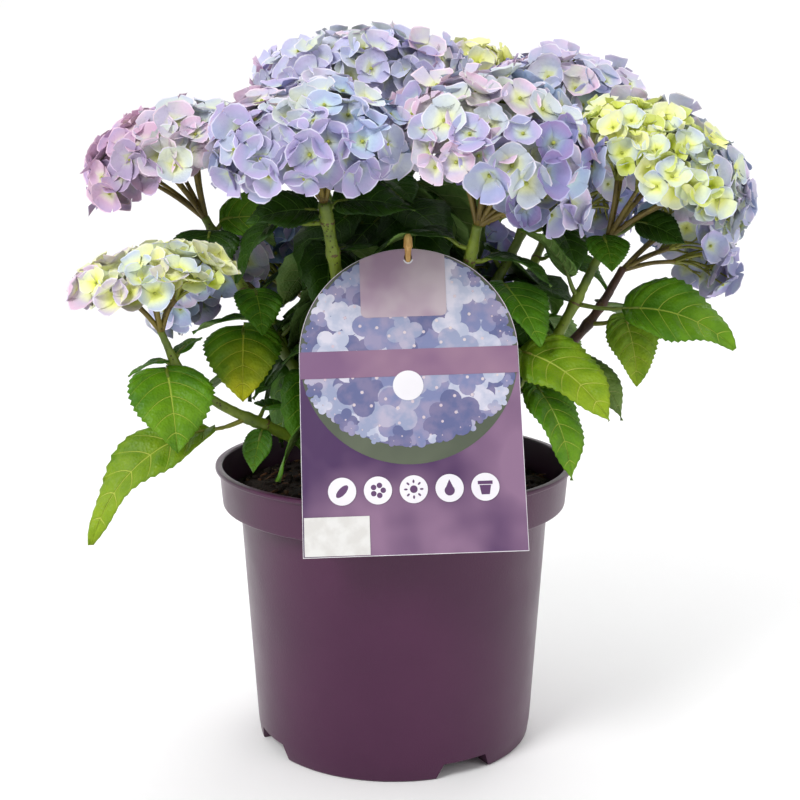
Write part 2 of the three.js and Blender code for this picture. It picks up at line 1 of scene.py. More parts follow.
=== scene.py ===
# %% [markdown]
# # A mophead hydrangea in its nursery pot
#
# This lesson dresses a potted hydrangea: a plum plastic pot with a collar, compost, olive stems,
# big toothed leaves, round flower heads of many small florets, and a card label on a stick.
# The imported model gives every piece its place, so each step starts by asking it for sizes.

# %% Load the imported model
from collections import namedtuple
from math import acos, atan2, cos, degrees, hypot, pi, radians, sin, tan, tau

import bmesh
import bpy
import numpy as np
from mathutils import Matrix, Vector


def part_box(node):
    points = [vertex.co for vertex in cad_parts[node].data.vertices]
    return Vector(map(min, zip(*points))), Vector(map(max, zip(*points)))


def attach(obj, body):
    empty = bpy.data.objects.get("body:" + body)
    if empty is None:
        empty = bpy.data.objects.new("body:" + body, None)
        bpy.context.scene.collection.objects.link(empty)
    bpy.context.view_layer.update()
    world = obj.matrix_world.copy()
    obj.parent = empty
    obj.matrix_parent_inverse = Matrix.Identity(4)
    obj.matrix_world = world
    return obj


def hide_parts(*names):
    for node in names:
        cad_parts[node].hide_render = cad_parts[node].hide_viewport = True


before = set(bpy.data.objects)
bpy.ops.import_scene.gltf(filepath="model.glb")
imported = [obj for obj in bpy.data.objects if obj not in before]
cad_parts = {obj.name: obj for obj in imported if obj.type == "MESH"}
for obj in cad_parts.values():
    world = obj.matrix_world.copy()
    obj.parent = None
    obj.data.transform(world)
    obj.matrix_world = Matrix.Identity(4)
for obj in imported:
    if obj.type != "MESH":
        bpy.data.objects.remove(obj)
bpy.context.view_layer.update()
print("nodes of the packed model:", len(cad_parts))

# %% [markdown]
# ## Camera
#
# The camera stands a little over the plant's middle height and looks down by eleven degrees, from
# about 86 cm away. It comes first, because every later choice of detail is judged through it.

# %% Camera
MM = 0.001
CAMERA_PLACE = (3.9, -860.0, 388.5)
CAMERA_DOWN = 11.05
CAMERA_LENS = 61.28
SENSOR_WIDTH = 36
PICTURE_SIZE = 800


def link_piece(name, data):
    piece = bpy.data.objects.new(name, data)
    bpy.context.scene.collection.objects.link(piece)
    return piece


def make_camera():
    camera = link_piece("camera", bpy.data.cameras.new("camera"))
    camera.location = Vector(CAMERA_PLACE) * MM
    camera.rotation_euler = (radians(90 - CAMERA_DOWN), 0, 0)
    camera.data.lens = CAMERA_LENS
    camera.data.sensor_width = SENSOR_WIDTH
    bpy.context.scene.camera = camera
    return camera


camera = make_camera()
print("camera at", tuple(round(c, 3) for c in camera.location))

# %% [markdown]
# ## Helpers for finishes
#
# Every finish is a Principled shader with a few nodes. These helpers keep each recipe short:
# one makes the shader, one adds a node, and others add the patterns that come back again and
# again, such as noise, a blend of two colours and a bump. The last one is a whole recipe, for
# plain grainy stuff such as compost, bark and paper.

# %% Helpers for finishes
OWN_MAP = "surface"
GRAIN_SPAN = (0.35, 0.65)


def colour(code):
    """A screen colour such as #6a4377 as the light values that a shader wants"""
    parts = [int(code[i:i + 2], 16) / 255 for i in (1, 3, 5)]
    return tuple(p / 12.92 if p < 0.04045 else ((p + 0.055) / 1.055) ** 2.4 for p in parts) + (1.0,)


class Nodes:
    """A node tree, with short ways to add and to link its nodes"""

    def __init__(self, tree):
        self.tree = tree

    def feed(self, value, socket):
        """Links another node's output, or sets a number or a colour code"""
        if isinstance(value, bpy.types.NodeSocket):
            self.tree.links.new(value, socket)
        else:
            socket.default_value = colour(value) if isinstance(value, str) else value

    def node(self, kind, fed=None, **settings):
        made = self.tree.nodes.new(kind)
        for name, value in settings.items():
            setattr(made, name, value)
        for socket, value in (fed or {}).items():
            self.feed(value, made.inputs[socket])
        return made

    def sum(self, operation, a, b=0.0):
        return self.node("ShaderNodeMath", {0: a, 1: b}, operation=operation).outputs[0]

    def parts(self, vector):
        return self.node("ShaderNodeSeparateXYZ", {0: vector}).outputs

    def between(self, value, low, high, to_low=0.0, to_high=1.0):
        fed = {"Value": value, "From Min": low, "From Max": high, "To Min": to_low, "To Max": to_high}
        return self.node("ShaderNodeMapRange", fed).outputs["Result"]

    def mix(self, share, first, second):
        return self.node("ShaderNodeMix", {0: share, 6: first, 7: second}, data_type="RGBA").outputs[2]


class Finish(Nodes):
    """A material with its shader at hand"""

    def __init__(self, name, base, roughness, **sockets):
        self.material = bpy.data.materials.new(name)
        self.material.use_nodes = True
        super().__init__(self.material.node_tree)
        self.shader = self.tree.nodes["Principled BSDF"]
        self.place = self.node("ShaderNodeTexCoord").outputs["Object"]
        for socket, value in {"Base Color": base, "Roughness": roughness, **sockets}.items():
            self.set(socket, value)

    def set(self, socket, value):
        self.feed(value, self.shader.inputs[socket.replace("_", " ")])

    def own_map(self):
        """How far along and across a leaf or a sepal a point lies"""
        return self.parts(self.node("ShaderNodeUVMap", uv_map=OWN_MAP).outputs["UV"])

    def noise(self, scale, detail=3.0, stretch=None):
        place = self.place
        if stretch:
            place = self.node("ShaderNodeMapping", {"Vector": place, "Scale": stretch}).outputs["Vector"]
        fed = {"Vector": place, "Scale": scale, "Detail": detail}
        return self.node("ShaderNodeTexNoise", fed).outputs["Fac"]

    def spots(self, scale):
        return self.node("ShaderNodeTexVoronoi", {"Vector": self.place, "Scale": scale}).outputs["Distance"]

    def cloud(self, pattern, low, high, dark, light):
        """Two tones that run into each other by a pattern"""
        self.set("Base Color", self.mix(self.between(pattern, low, high), dark, light))

    def bump(self, height, depth):
        made = self.node("ShaderNodeBump", {"Height": height, "Distance": depth})
        self.set("Normal", made.outputs["Normal"])


def grained(name, base, roughness, grain, tones, relief, depth, span=GRAIN_SPAN, **sockets):
    """Two tones clouded by one noise under the relief of another, each noise a scale and a detail"""
    finish = Finish(name, base, roughness, **sockets)
    finish.cloud(finish.noise(*grain), *span, *tones)
    finish.bump(finish.noise(*relief), depth)
    return finish


print("finish helpers ready")

# %% [markdown]
# ## Floor and light
#
# The plant stands on a plain pale sweep that rises behind it, under soft white light: a bright
# surrounding, a wide lamp from the upper left and a weaker one from the right. Colours are shown
# without a film look, so that the petals keep their own tones.

# %% Floor, lamps and surrounding light
FLOOR_REACH = 3.0
SWEEP_FROM = 0.9
SWEEP_RADIUS = 0.8
SWEEP_STEPS = 16
SWEEP_RISE = 2.0
PAPER_TONE = (0.93, 0.93, 0.93, 1)
WHITE = "#ffffff"
LAMP_AIM = Vector((0, 0, 0.25))
LAMPS = (("key_lamp", (-1.2, -1.5, 1.8), 0.8, 36), ("fill_lamp", (1.6, -1.2, 1.0), 1.2, 7),
         ("back_lamp", (0.5, 1.3, 1.6), 1.2, 14))
SURROUND_RAMP = (-0.9, 0.4, 0.42, 1.0)


def object_from(bm, name, scale=MM):
    """A new object from a bmesh, whose numbers are millimetres if nothing else is said"""
    bmesh.ops.scale(bm, vec=(scale, scale, scale), verts=bm.verts[:])
    mesh = bpy.data.meshes.new(name)
    bm.to_mesh(mesh)
    bm.free()
    return link_piece(name, mesh)


def vertices(made, key="geom"):
    """The points among the parts that a mesh operator gives back"""
    return [part for part in made[key] if isinstance(part, bmesh.types.BMVert)]


def make_floor():
    """A line from front to back that is bent upwards, drawn out to both sides"""
    bm = bmesh.new()
    start = bm.verts.new((-FLOOR_REACH, -FLOOR_REACH, 0))
    bend = bm.verts.new((-FLOOR_REACH, SWEEP_FROM, 0))
    bm.edges.new((start, bend))
    lift = bmesh.ops.spin(bm, geom=[bend], cent=(-FLOOR_REACH, SWEEP_FROM, SWEEP_RADIUS), axis=(1, 0, 0),
                          angle=radians(90), steps=SWEEP_STEPS)
    rise = bmesh.ops.extrude_vert_indiv(bm, verts=vertices(lift, "geom_last"))
    bmesh.ops.translate(bm, verts=rise["verts"], vec=(0, 0, SWEEP_RISE))
    across = bmesh.ops.extrude_edge_only(bm, edges=bm.edges[:])
    bmesh.ops.translate(bm, verts=vertices(across), vec=(2 * FLOOR_REACH, 0, 0))
    bmesh.ops.recalc_face_normals(bm, faces=bm.faces[:])
    floor = object_from(bm, "floor", 1)
    floor.data.polygons.foreach_set("use_smooth", [True] * len(floor.data.polygons))
    floor.data.materials.append(Finish("pale_paper", PAPER_TONE, 0.9).material)


def make_lamp(name, place, size, power):
    lamp = link_piece(name, bpy.data.lights.new(name, "AREA"))
    lamp.location = place
    lamp.rotation_euler = (LAMP_AIM - Vector(place)).to_track_quat("-Z", "Y").to_euler()
    lamp.data.size = size
    lamp.data.energy = power


def make_surround():
    """A white room that is brighter behind the plant than behind the camera"""
    world = bpy.data.worlds.new("studio")
    world.use_nodes = True
    room = Nodes(world.node_tree)
    light = room.tree.nodes["Background"]
    depth = room.parts(room.node("ShaderNodeTexCoord").outputs["Generated"])[1]
    room.feed(room.between(depth, *SURROUND_RAMP), light.inputs["Strength"])
    room.feed(WHITE, light.inputs["Color"])
    bpy.context.scene.world = world


make_floor()
for lamp in LAMPS:
    make_lamp(*lamp)
make_surround()
bpy.context.scene.view_settings.view_transform = "Standard"
print("floor and", len(LAMPS), "lamps")

# %% [markdown]
# ## Helpers for shapes
#
# Plants repeat a few shapes many times: a tapering limb, a leaf blade, a sepal, a crumb of
# compost. Each is modelled once with mesh operators as a pattern piece. Copies of a pattern are
# then bent to their places with arrays of numbers and gathered into one mesh, which is far
# quicker than thousands of separate objects.

# %% Pattern pieces and heaps


def claim(piece, slot, *nodes):
    """Attaches a piece to the root body and hides the solids that it stands for; the slot is not used"""
    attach(piece, "root")
    if nodes:
        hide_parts(*nodes)


class Pattern:
    """The points and faces of a small bmesh, as arrays"""

    def __init__(self, bm):
        bm.verts.index_update()
        self.points = np.array([v.co[:] for v in bm.verts])
        self.sizes = np.array([len(f.verts) for f in bm.faces])
        self.corners = np.array([v.index for f in bm.faces for v in f.verts])
        self.slots = np.array([f.material_index for f in bm.faces])
        bm.free()


class Heap:
    """Many bent copies of patterns, gathered into one mesh"""

    def __init__(self, name, finishes, slot):
        self.name = name
        self.finishes = finishes
        self.slot = slot
        self.points, self.corners, self.sizes, self.slots, self.maps = [], [], [], [], []
        self.count = 0

    def add(self, pattern, points, finish=0, flat_map=None):
        self.points.append(points)
        self.corners.append(pattern.corners + self.count)
        self.sizes.append(pattern.sizes)
        self.slots.append(pattern.slots + finish)
        spread = np.zeros((len(points), 2)) if flat_map is None else flat_map
        self.maps.append(spread[pattern.corners])
        self.count += len(points)

    def build(self, *nodes):
        points = np.concatenate(self.points) * MM
        corners = np.concatenate(self.corners)
        sizes = np.concatenate(self.sizes)
        mesh = bpy.data.meshes.new(self.name)
        mesh.vertices.add(len(points))
        mesh.vertices.foreach_set("co", points.astype(np.float32).ravel())
        mesh.loops.add(len(corners))
        mesh.loops.foreach_set("vertex_index", corners.astype(np.int32))
        mesh.polygons.add(len(sizes))
        mesh.polygons.foreach_set("loop_start", (np.cumsum(sizes) - sizes).astype(np.int32))
        used, slots = np.unique(np.concatenate(self.slots), return_inverse=True)
        mesh.polygons.foreach_set("material_index", slots.astype(np.int32))
        mesh.polygons.foreach_set("use_smooth", np.ones(len(sizes), bool))
        flat = mesh.uv_layers.new(name=OWN_MAP)
        flat.data.foreach_set("uv", np.concatenate(self.maps).astype(np.float32).ravel())
        mesh.update(calc_edges=True)
        for number in used:
            mesh.materials.append(self.finishes[number].material)
        claim(link_piece(self.name, mesh), self.slot, *nodes)
        print(f"{self.name}: {int((sizes - 2).sum())} triangles")


def seeded(seed):
    """The same small number generator that grew the solids"""
    state = seed

    def draw():
        nonlocal state
        state = (state * 1664525 + 1013904223) % 4294967296
        return state / 4294967296

    return draw


def unit(vectors):
    return vectors / np.maximum(np.linalg.norm(vectors, axis=-1, keepdims=True), 1e-9)


def pointing(heading, pitch):
    """A unit vector from a heading in plan and a pitch above the level"""
    turn, rise = np.radians(heading), np.radians(pitch)
    parts = (np.cos(rise) * np.cos(turn), np.cos(rise) * np.sin(turn), np.sin(rise))
    return np.stack(np.broadcast_arrays(*parts), axis=-1)


UP = np.array([0.0, 0.0, 1.0])
print("patterns and heaps ready")

# %% Routes and limbs
STEPS_BETWEEN = 32
LOOK_AHEAD = 0.01
TUBE_SEAM = (37, 5)


class Route:
    """A smooth line through a few points, read by its share of length"""

    def __init__(self, points):
        given = np.array(points, float)
        ends = np.vstack([2 * given[0] - given[1], given, 2 * given[-1] - given[-2]])
        places = [given[0]]
        for a, b, c, d in zip(ends, ends[1:], ends[2:], ends[3:]):
            pairs = ((a, b), (b, c), (c, d))
            before, here, after = (max(np.linalg.norm(q - p) ** 0.5, 1e-4) for p, q in pairs)
            leave = ((b - a) / before - (c - a) / (before + here) + (c - b) / here) * here
            arrive = ((c - b) / here - (d - b) / (here + after) + (d - c) / after) * here
            t = np.linspace(0, 1, STEPS_BETWEEN + 1)[1:, None]
            bend = -3 * b + 3 * c - 2 * leave - arrive
            twist = 2 * b - 2 * c + leave + arrive
            places.extend(b + leave * t + bend * t ** 2 + twist * t ** 3)
        self.places = np.array(places)
        steps = np.linalg.norm(np.diff(self.places, axis=0), axis=1)
        self.run = np.concatenate([[0], np.cumsum(steps)])
        self.length = self.run[-1]

    def at(self, share):
        where = np.asarray(share, float) * self.length
        return np.stack([np.interp(where, self.run, self.places[:, i]) for i in range(3)], axis=-1)

    def along(self, share):
        share = np.asarray(share, float)
        return unit(self.at(np.minimum(share + LOOK_AHEAD, 1)) - self.at(np.maximum(share - LOOK_AHEAD, 0)))


tubes = {}


def tube_pattern(sides, rings):
    """A round bar along z from 0 to 1, cut into rings"""
    if (sides, rings) not in tubes:
        bm = bmesh.new()
        bmesh.ops.create_cone(bm, cap_ends=True, segments=sides, radius1=1, radius2=1, depth=1)
        bmesh.ops.translate(bm, verts=bm.verts[:], vec=(0, 0, 0.5))
        if rings > 1:
            upright = [e for e in bm.edges if abs(e.verts[0].co.z - e.verts[1].co.z) > 0.5]
            bmesh.ops.subdivide_edges(bm, edges=upright, cuts=rings - 1, use_grid_fill=True)
        tubes[sides, rings] = Pattern(bm)
    return tubes[sides, rings]


def bend_tube(route, shares, radii, sides):
    """A limb: the bar's rings set along a route, each with its own radius"""
    pattern = tube_pattern(sides, len(shares) - 1)
    ring = np.round(pattern.points[:, 2] * (len(shares) - 1)).astype(int)
    ahead = route.along(shares)
    side = unit(np.cross(ahead, pointing(*TUBE_SEAM)))
    up = np.cross(ahead, side)
    radii = np.asarray(radii, float)
    x, y = pattern.points[:, 0:1], pattern.points[:, 1:2]
    return pattern, route.at(shares)[ring] + (side[ring] * x + up[ring] * y) * radii[ring, None]


print("routes and limbs ready")

# %% [markdown]
# ## Pot
#
# A shell of plum plastic: a plain tapering body, a deep collar with a thin lip to carry it by, and
# four low feet with drain channels between them. The wall is one outline spun round the axis.
# Rounding the outline's corners first gives the soft edges of moulding, and the channels are cut
# out of the finished shell with a Boolean.

# %% Pot outline
pot_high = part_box("pot")[1] / MM
LIP_RADIUS = pot_high.x
POT_HEIGHT = pot_high.z
LIP_HEIGHT = 3.0
COLLAR_RADIUS = LIP_RADIUS - 2.5
COLLAR_FOOT_RADIUS = LIP_RADIUS - 4.5
COLLAR_BOTTOM = POT_HEIGHT - 25.1
BODY_TOP_RADIUS = LIP_RADIUS - 15.5
BODY_FOOT_RADIUS = LIP_RADIUS - 24.5
FOOT_RADIUS = LIP_RADIUS - 26
FOOT_INNER_RADIUS = LIP_RADIUS - 39
FOOT_HEIGHT = 10.0
FLOOR_TOP = 12.5
WALL = 2.0
PAD_RADIUS = 22.0
CHANNEL_HEADING = -60.5
CHANNEL_WIDTHS = (40.0, 30.0)
POT_STEPS = 144
ARC_STEPS = 4


def rounded(outline):
    """An outline of (across, up, radius) corners with each corner turned into an arc"""
    smooth = []
    for i, (x, y, radius) in enumerate(outline):
        here = Vector((x, y))
        if radius == 0 or i in (0, len(outline) - 1):
            smooth.append(here)
            continue
        back = Vector(outline[i - 1][:2]) - here
        ahead = Vector(outline[i + 1][:2]) - here
        reach = min(radius, back.length * 0.45, ahead.length * 0.45)
        start, end = here + back.normalized() * reach, here + ahead.normalized() * reach
        for step in range(ARC_STEPS + 1):
            t = step / ARC_STEPS
            smooth.append(start.lerp(here, t).lerp(here.lerp(end, t), t))
    return smooth


def spun(outline, steps):
    """A closed shell from an outline that starts and ends on the axis"""
    bm = bmesh.new()
    line = [bm.verts.new((p.x, 0, p.y)) for p in outline]
    edges = [bm.edges.new(pair) for pair in zip(line, line[1:])]
    bmesh.ops.spin(bm, geom=line + edges, cent=(0, 0, 0), axis=(0, 0, 1), angle=tau, steps=steps,
                   use_merge=True)
    bmesh.ops.remove_doubles(bm, verts=bm.verts[:], dist=0.001)
    bmesh.ops.dissolve_degenerate(bm, edges=bm.edges[:], dist=0.0005)
    bmesh.ops.recalc_face_normals(bm, faces=bm.faces[:])
    return bm


inner_top = BODY_TOP_RADIUS - WALL
inner_foot = BODY_FOOT_RADIUS - WALL
pot_outline = rounded([
    (0, 0, 0), (PAD_RADIUS, 0, 1), (PAD_RADIUS + 2, FOOT_HEIGHT, 1.5), (FOOT_INNER_RADIUS, FOOT_HEIGHT, 1.5),
    (FOOT_INNER_RADIUS + 1, 0, 1), (FOOT_RADIUS, 0, 1.6), (BODY_FOOT_RADIUS, FOOT_HEIGHT, 3),
    (BODY_TOP_RADIUS, COLLAR_BOTTOM - 1, 1), (COLLAR_FOOT_RADIUS - 1.2, COLLAR_BOTTOM - 1, 0.6),
    (COLLAR_FOOT_RADIUS, COLLAR_BOTTOM - 0.2, 0.6), (COLLAR_FOOT_RADIUS + 0.3, COLLAR_BOTTOM + 2, 0.6),
    (COLLAR_RADIUS, POT_HEIGHT - LIP_HEIGHT, 1), (LIP_RADIUS, POT_HEIGHT - LIP_HEIGHT * 0.8, 0.6),
    (LIP_RADIUS, POT_HEIGHT, 1.4), (COLLAR_RADIUS - WALL, POT_HEIGHT, 1.2),
    (COLLAR_FOOT_RADIUS - WALL, COLLAR_BOTTOM + WALL, 1), (inner_top, COLLAR_BOTTOM - 2, 1.5),
    (inner_foot, FLOOR_TOP, 4), (0, FLOOR_TOP, 0),
])
print("pot outline points:", len(pot_outline))

# %% Pot body with its drain channels


def channel_cutter():
    """Four wedges, wider below than above, that run out through the foot ring"""
    bm = bmesh.new()
    below, above = CHANNEL_WIDTHS
    for i in range(4):
        wedge = bmesh.ops.create_cube(bm, size=1)["verts"]
        for v in wedge:
            v.co.x *= above if v.co.z > 0 else below
            v.co.y = FOOT_INNER_RADIUS - 6 if v.co.y < 0 else BODY_FOOT_RADIUS + 4
            v.co.z = FOOT_HEIGHT - 0.2 if v.co.z > 0 else -1
        turn = Matrix.Rotation(radians(CHANNEL_HEADING - 90 + i * 90), 3, "Z")
        bmesh.ops.rotate(bm, verts=wedge, matrix=turn)
    corners = [e for e in bm.edges if abs(e.verts[0].co.z - e.verts[1].co.z) > 5]
    bmesh.ops.bevel(bm, geom=corners, offset=1.5, segments=3, profile=0.5, affect="EDGES", material=-1)
    return object_from(bm, "channels")


def cut_away(piece, cutter):
    """A Boolean difference, with the result kept as the piece's own mesh"""
    cut = piece.modifiers.new("cut", "BOOLEAN")
    cut.operation = "DIFFERENCE"
    cut.solver = "EXACT"
    cut.object = cutter
    bpy.context.view_layer.update()
    done = bpy.data.meshes.new_from_object(piece.evaluated_get(bpy.context.evaluated_depsgraph_get()))
    piece.modifiers.clear()
    piece.data = done
    bpy.data.objects.remove(cutter)


def complete(piece, turn, finish, *names):
    """Smooths a piece but for edges that turn more than some degrees, and gives it its finish"""
    piece.data.polygons.foreach_set("use_smooth", [True] * len(piece.data.polygons))
    piece.data.set_sharp_from_angle(angle=radians(turn))
    piece.data.materials.append(finish.material)
    claim(piece, *names)
    print(piece.name, "faces:", len(piece.data.polygons))


pot = object_from(spun(pot_outline, POT_STEPS), "pot_shell")
cut_away(pot, channel_cutter())

# %% [markdown]
# The pot's plastic is a satin plum: nearly even in colour, with a broad soft shine. A faint
# orange-peel bump and a little cloudiness in the gloss keep it from looking like paint.

# %% Pot finish


def plum_plastic():
    finish = grained("plum_plastic", "#441a3a", 0.36, (14, 4), ("#421839", "#481d3e"), (900, 2), 0.00012,
                     Specular_IOR_Level=0.3, Coat_Weight=0.1, Coat_Roughness=0.22)
    finish.set("Roughness", finish.between(finish.noise(30, 5), 0.3, 0.7, 0.29, 0.4))
    return finish


complete(pot, 35, plum_plastic(), "pot", "pot")

# %% [markdown]
# ## Compost
#
# The pot is filled with dark moist compost: a lumpy surface with crumbs of peat and torn bark
# lying loose on it, and a few white grains of the drainage stone that growers mix in. The
# surface is a spun disc pushed up and down, and the crumbs are one small ball, stretched anew
# for each kind of crumb.

# %% Compost surface
SOIL_TOP = 161.5
SOIL_RADIUS = COLLAR_FOOT_RADIUS - WALL - 0.4
SOIL_DEPTH = 22
SOIL_RINGS = 26
SOIL_STEPS = 120
SOIL_LUMP = 3.0
SOIL_LUMPS = 260
LUMP_LIMIT = 2.5
LEVEL_RIM = 6


def lump_heights(lumps, place):
    """What each lump, given by its middle, its width and its height, adds at a place"""
    away = (lumps[:, 0] - place.x) ** 2 + (lumps[:, 1] - place.y) ** 2
    return float((np.exp(-away / lumps[:, 2] ** 2) * lumps[:, 3]).sum())


def compost_surface():
    floor = SOIL_TOP - SOIL_DEPTH
    edge = [(0, floor), (inner_top - 3, floor), (inner_top - 2, COLLAR_BOTTOM - 1.5),
            (SOIL_RADIUS, COLLAR_BOTTOM + WALL + 0.5)]
    top = [(SOIL_RADIUS * (1 - i / SOIL_RINGS), SOIL_TOP - 1) for i in range(SOIL_RINGS + 1)]
    bm = spun([Vector(point) for point in edge + top], SOIL_STEPS)
    draw = seeded(41)
    lumps = np.array([(draw() * 200 - 100, draw() * 200 - 100, 4 + draw() * 9, (draw() - 0.45) * SOIL_LUMP)
                      for _ in range(SOIL_LUMPS)])
    for v in bm.verts:
        if v.co.z > SOIL_TOP - 1.5:
            lift = max(-LUMP_LIMIT, min(LUMP_LIMIT, lump_heights(lumps, v.co)))
            v.co.z += lift * min(1, (SOIL_RADIUS - hypot(v.co.x, v.co.y)) / LEVEL_RIM)
    return object_from(bm, "compost")


moist = grained("moist_compost", "#241710", 0.9, (420, 6), ("#140c08", "#3b2617"), (600, 8), 0.0012,
                (0.35, 0.7))
complete(compost_surface(), 80, moist, "soil", "soil")

# %% Crumbs and bark
CRUMBS = 1500
CRUMB_KINDS = (
    ("peat_crumb", "#160d08", "#2e1d12", 0.66, (1, 1, 0.8)),
    ("bark_bit", "#3a2415", "#6b4527", 0.93, (1.9, 0.8, 0.45)),
    ("straw_bit", "#6a5230", "#94774a", 0.985, (2.6, 0.28, 0.25)),
    ("white_grain", "#b9b4a8", "#e4e1d8", 1.0, (1, 0.9, 0.8)),
)
GRAIN = 3
GRAIN_SIZE = 1.2


def ball_pattern(reach):
    """A coarse ball, with each point at the reach that a call gives"""
    bm = bmesh.new()
    bmesh.ops.create_icosphere(bm, subdivisions=1, radius=1)
    for v in bm.verts:
        v.co *= reach()
    return Pattern(bm)


def crumb_finish(name, dark, light):
    return grained(name, light, 0.88, (500, 4), (dark, light), (900, 6), 0.0008)


def scatter_crumbs():
    heap = Heap("compost_crumbs", [crumb_finish(*kind[:3]) for kind in CRUMB_KINDS], "soil")
    uneven = seeded(5)
    crumb = ball_pattern(lambda: 0.75 + 0.5 * uneven())
    draw = seeded(77)
    for _ in range(CRUMBS):
        radius = (SOIL_RADIUS - 3) * draw() ** 0.5
        turn = draw() * tau
        chance = draw()
        size = 1.0 + 2.2 * draw() ** 2
        kind = next(i for i, crumb_kind in enumerate(CRUMB_KINDS) if chance < crumb_kind[3])
        size = GRAIN_SIZE if kind == GRAIN else size
        tilt = Matrix.Rotation(draw() * tau, 3, "Z") @ Matrix.Rotation((draw() - 0.5) * 0.9, 3, "Y")
        points = crumb.points * np.array(CRUMB_KINDS[kind][4]) * size @ np.array(tilt).T
        points += (radius * cos(turn), radius * sin(turn), SOIL_TOP - 0.6 + size * 0.35)
        heap.add(crumb, points, kind)
    heap.build()


scatter_crumbs()

# %% [markdown]
# ## How the plant grows
#
# The solids are grown from a short list: where each shoot stands on the woody base, the places
# that its stem passes, its flower head and its leaves. The same list is repeated here, in
# millimetres, so that every finer piece keeps to the space of the solid that it stands for.
# A head's line gives its centre, radius, rise, heading and lean. A leaf's line gives its place
# along the shoot, its stalk (heading, pitch, length), its blade (heading, pitch, length, width,
# droop and, for some, roll) and its tone.

# %% Shoots
OUTER_RING = 23.5
INNER_RING = 9.6
BASE_TOP = 175.2
FIRST_SEED = 11
STEM_SEED, LEAF_SEED, HEAD_SEED = 200, 300, 400
Head = namedtuple("Head", "centre radius rise heading lean")
SHOOTS = {}


def standing(ring, heading):
    return (ring * cos(radians(heading)), ring * sin(radians(heading)), BASE_TOP - 3)


def shoot(name, slot, foot, places, head, *leaves, cluster=None):
    """Notes a shoot: its foot on the woody base, the places that its stem passes, its head and leaves"""
    heads = [Head(*form) for form in (head, cluster) if form]
    SHOOTS[name] = dict(seed=FIRST_SEED + len(SHOOTS), slot=slot, route=[standing(*foot), *places],
                        heads=heads, leaves=leaves)


shoot("front_left", "flower_lilac", (OUTER_RING, 252),
      ((-28, -38, 262), (-35, -50, 314), (-40, -64, 350)),
      ((-46, -80, 378), 56, 41, 250, 10),
      (0.93, (155, 0, 34), (205, -30, 46, 32, 50), "deep"),
      (0.5, (195, 10, 10), (195, 0, 34, 30, 40), "deep"),
      (0.95, (165, 25, 8), (192, 6, 42, 34, 32, -38), "deep"),
      (0.98, (10, 25, 8), (2, 8, 46, 34, 30, 36), "deep"),
      (0.82, (60, 15, 8), (60, 5, 40, 34, 45), "deep"))
shoot("front_right", "flower_lilac", (OUTER_RING, 306),
      ((31, -38, 262), (45, -52, 314), (49, -64, 337)),
      ((56, -74, 377), 59, 46, 300, 12),
      (0.9, (165, 25, 16), (165, 15, 50, 40, 60), "deep"),
      (0.86, (-15, 5, 12), (-18, 5, 42, 32, 55), "deep"),
      (0.7, (14, 18, 31), (-60, -25, 52, 40, 30), "mid"),
      (0.76, (110, 15, 8), (110, 0, 46, 38, 45), "deep"),
      cluster=((84, -70, 352), 27, 20, 300, 35))
shoot("left_low", "flower_yellow", (OUTER_RING, 217),
      ((-57, -44, 203), (-106, -67, 233), (-124, -74, 251), (-135, -78, 277)),
      ((-136, -82, 298), 47, 29, 205, 8),
      (0.86, (-120, 0, 10), (-72, -36, 54, 50, 34), "fresh"),
      (0.9, (40, 25, 5), (50, 35, 20, 14, 30), "mid"),
      (0.88, (200, 10, 5), (200, 0, 24, 16, 40), "mid"),
      (0.55, (215, -8, 30), (211, -4, 98, 38, 72, -20), "lime"),
      (0.52, (60, 35, 12), (48, 0, 42, 34, 40), "mid"),
      (0.48, (-110, -30, 6), (-110, -50, 26, 20, 20), "mid"))
shoot("left_high", "flower_pink", (OUTER_RING, 188),
      ((-52, -16, 228), (-88, -24, 287), (-116, -16, 338)),
      ((-138, -12, 370), 52, 37, 188, 24),
      (0.93, (-105, 22, 9), (-95, -34, 36, 42, 34), "deep"),
      (0.92, (60, 20, 12), (50, 10, 44, 34, 50), "deep"),
      (0.62, (225, -10, 16), (-86, -32, 52, 48, 38), "autumn"),
      (0.62, (150, 5, 10), (168, 0, 40, 32, 30), "mid"),
      (0.74, (-40, 0, 10), (-75, -20, 36, 30, 50), "mid"),
      (0.95, (15, 45, 10), (5, 12, 44, 36, 30, 48), "fresh"))
shoot("right_high", "flower_yellow", (OUTER_RING, 345),
      ((60, -12, 215), (95, -18, 254), (111, -20, 283), (132, -20, 327)),
      ((156, -22, 360), 61, 46, -8, 28),
      (0.76, (-18, -3, 34), (-13, 5, 70, 50, 50, 40), "fresh"),
      (0.78, (215, 60, 18), (205, 60, 46, 26, 40), "mid"),
      (0.55, (-112, 14, 40), (-41, -6, 72, 46, 45, 25), "lime"),
      (0.4, (-74, 14, 46), (-58, -30, 64, 36, 50), "fresh"),
      (0.98, (-110, 25, 8), (-80, -28, 27, 28, 40), "mid"),
      (1.0, (5, 25, 20), (-10, -10, 32, 28, 30, 42), "deep"))
shoot("right_low", "flower_blue", (OUTER_RING, 15),
      ((60, 9, 208), (107, 10, 249), (129, 19, 271), (150, 33, 302)),
      ((190, 50, 315), 41, 31, 12, 55),
      (0.76, (-15, 12, 24), (-75, -40, 48, 36, 45), "lime"),
      (0.56, (-40, 0, 8), (-14, 0, 58, 28, 80, 45), "dull"),
      (0.5, (75, 15, 14), (70, 10, 52, 40, 55), "deep"),
      (0.84, (60, 0, 8), (40, -10, 44, 34, 40), "deep"))
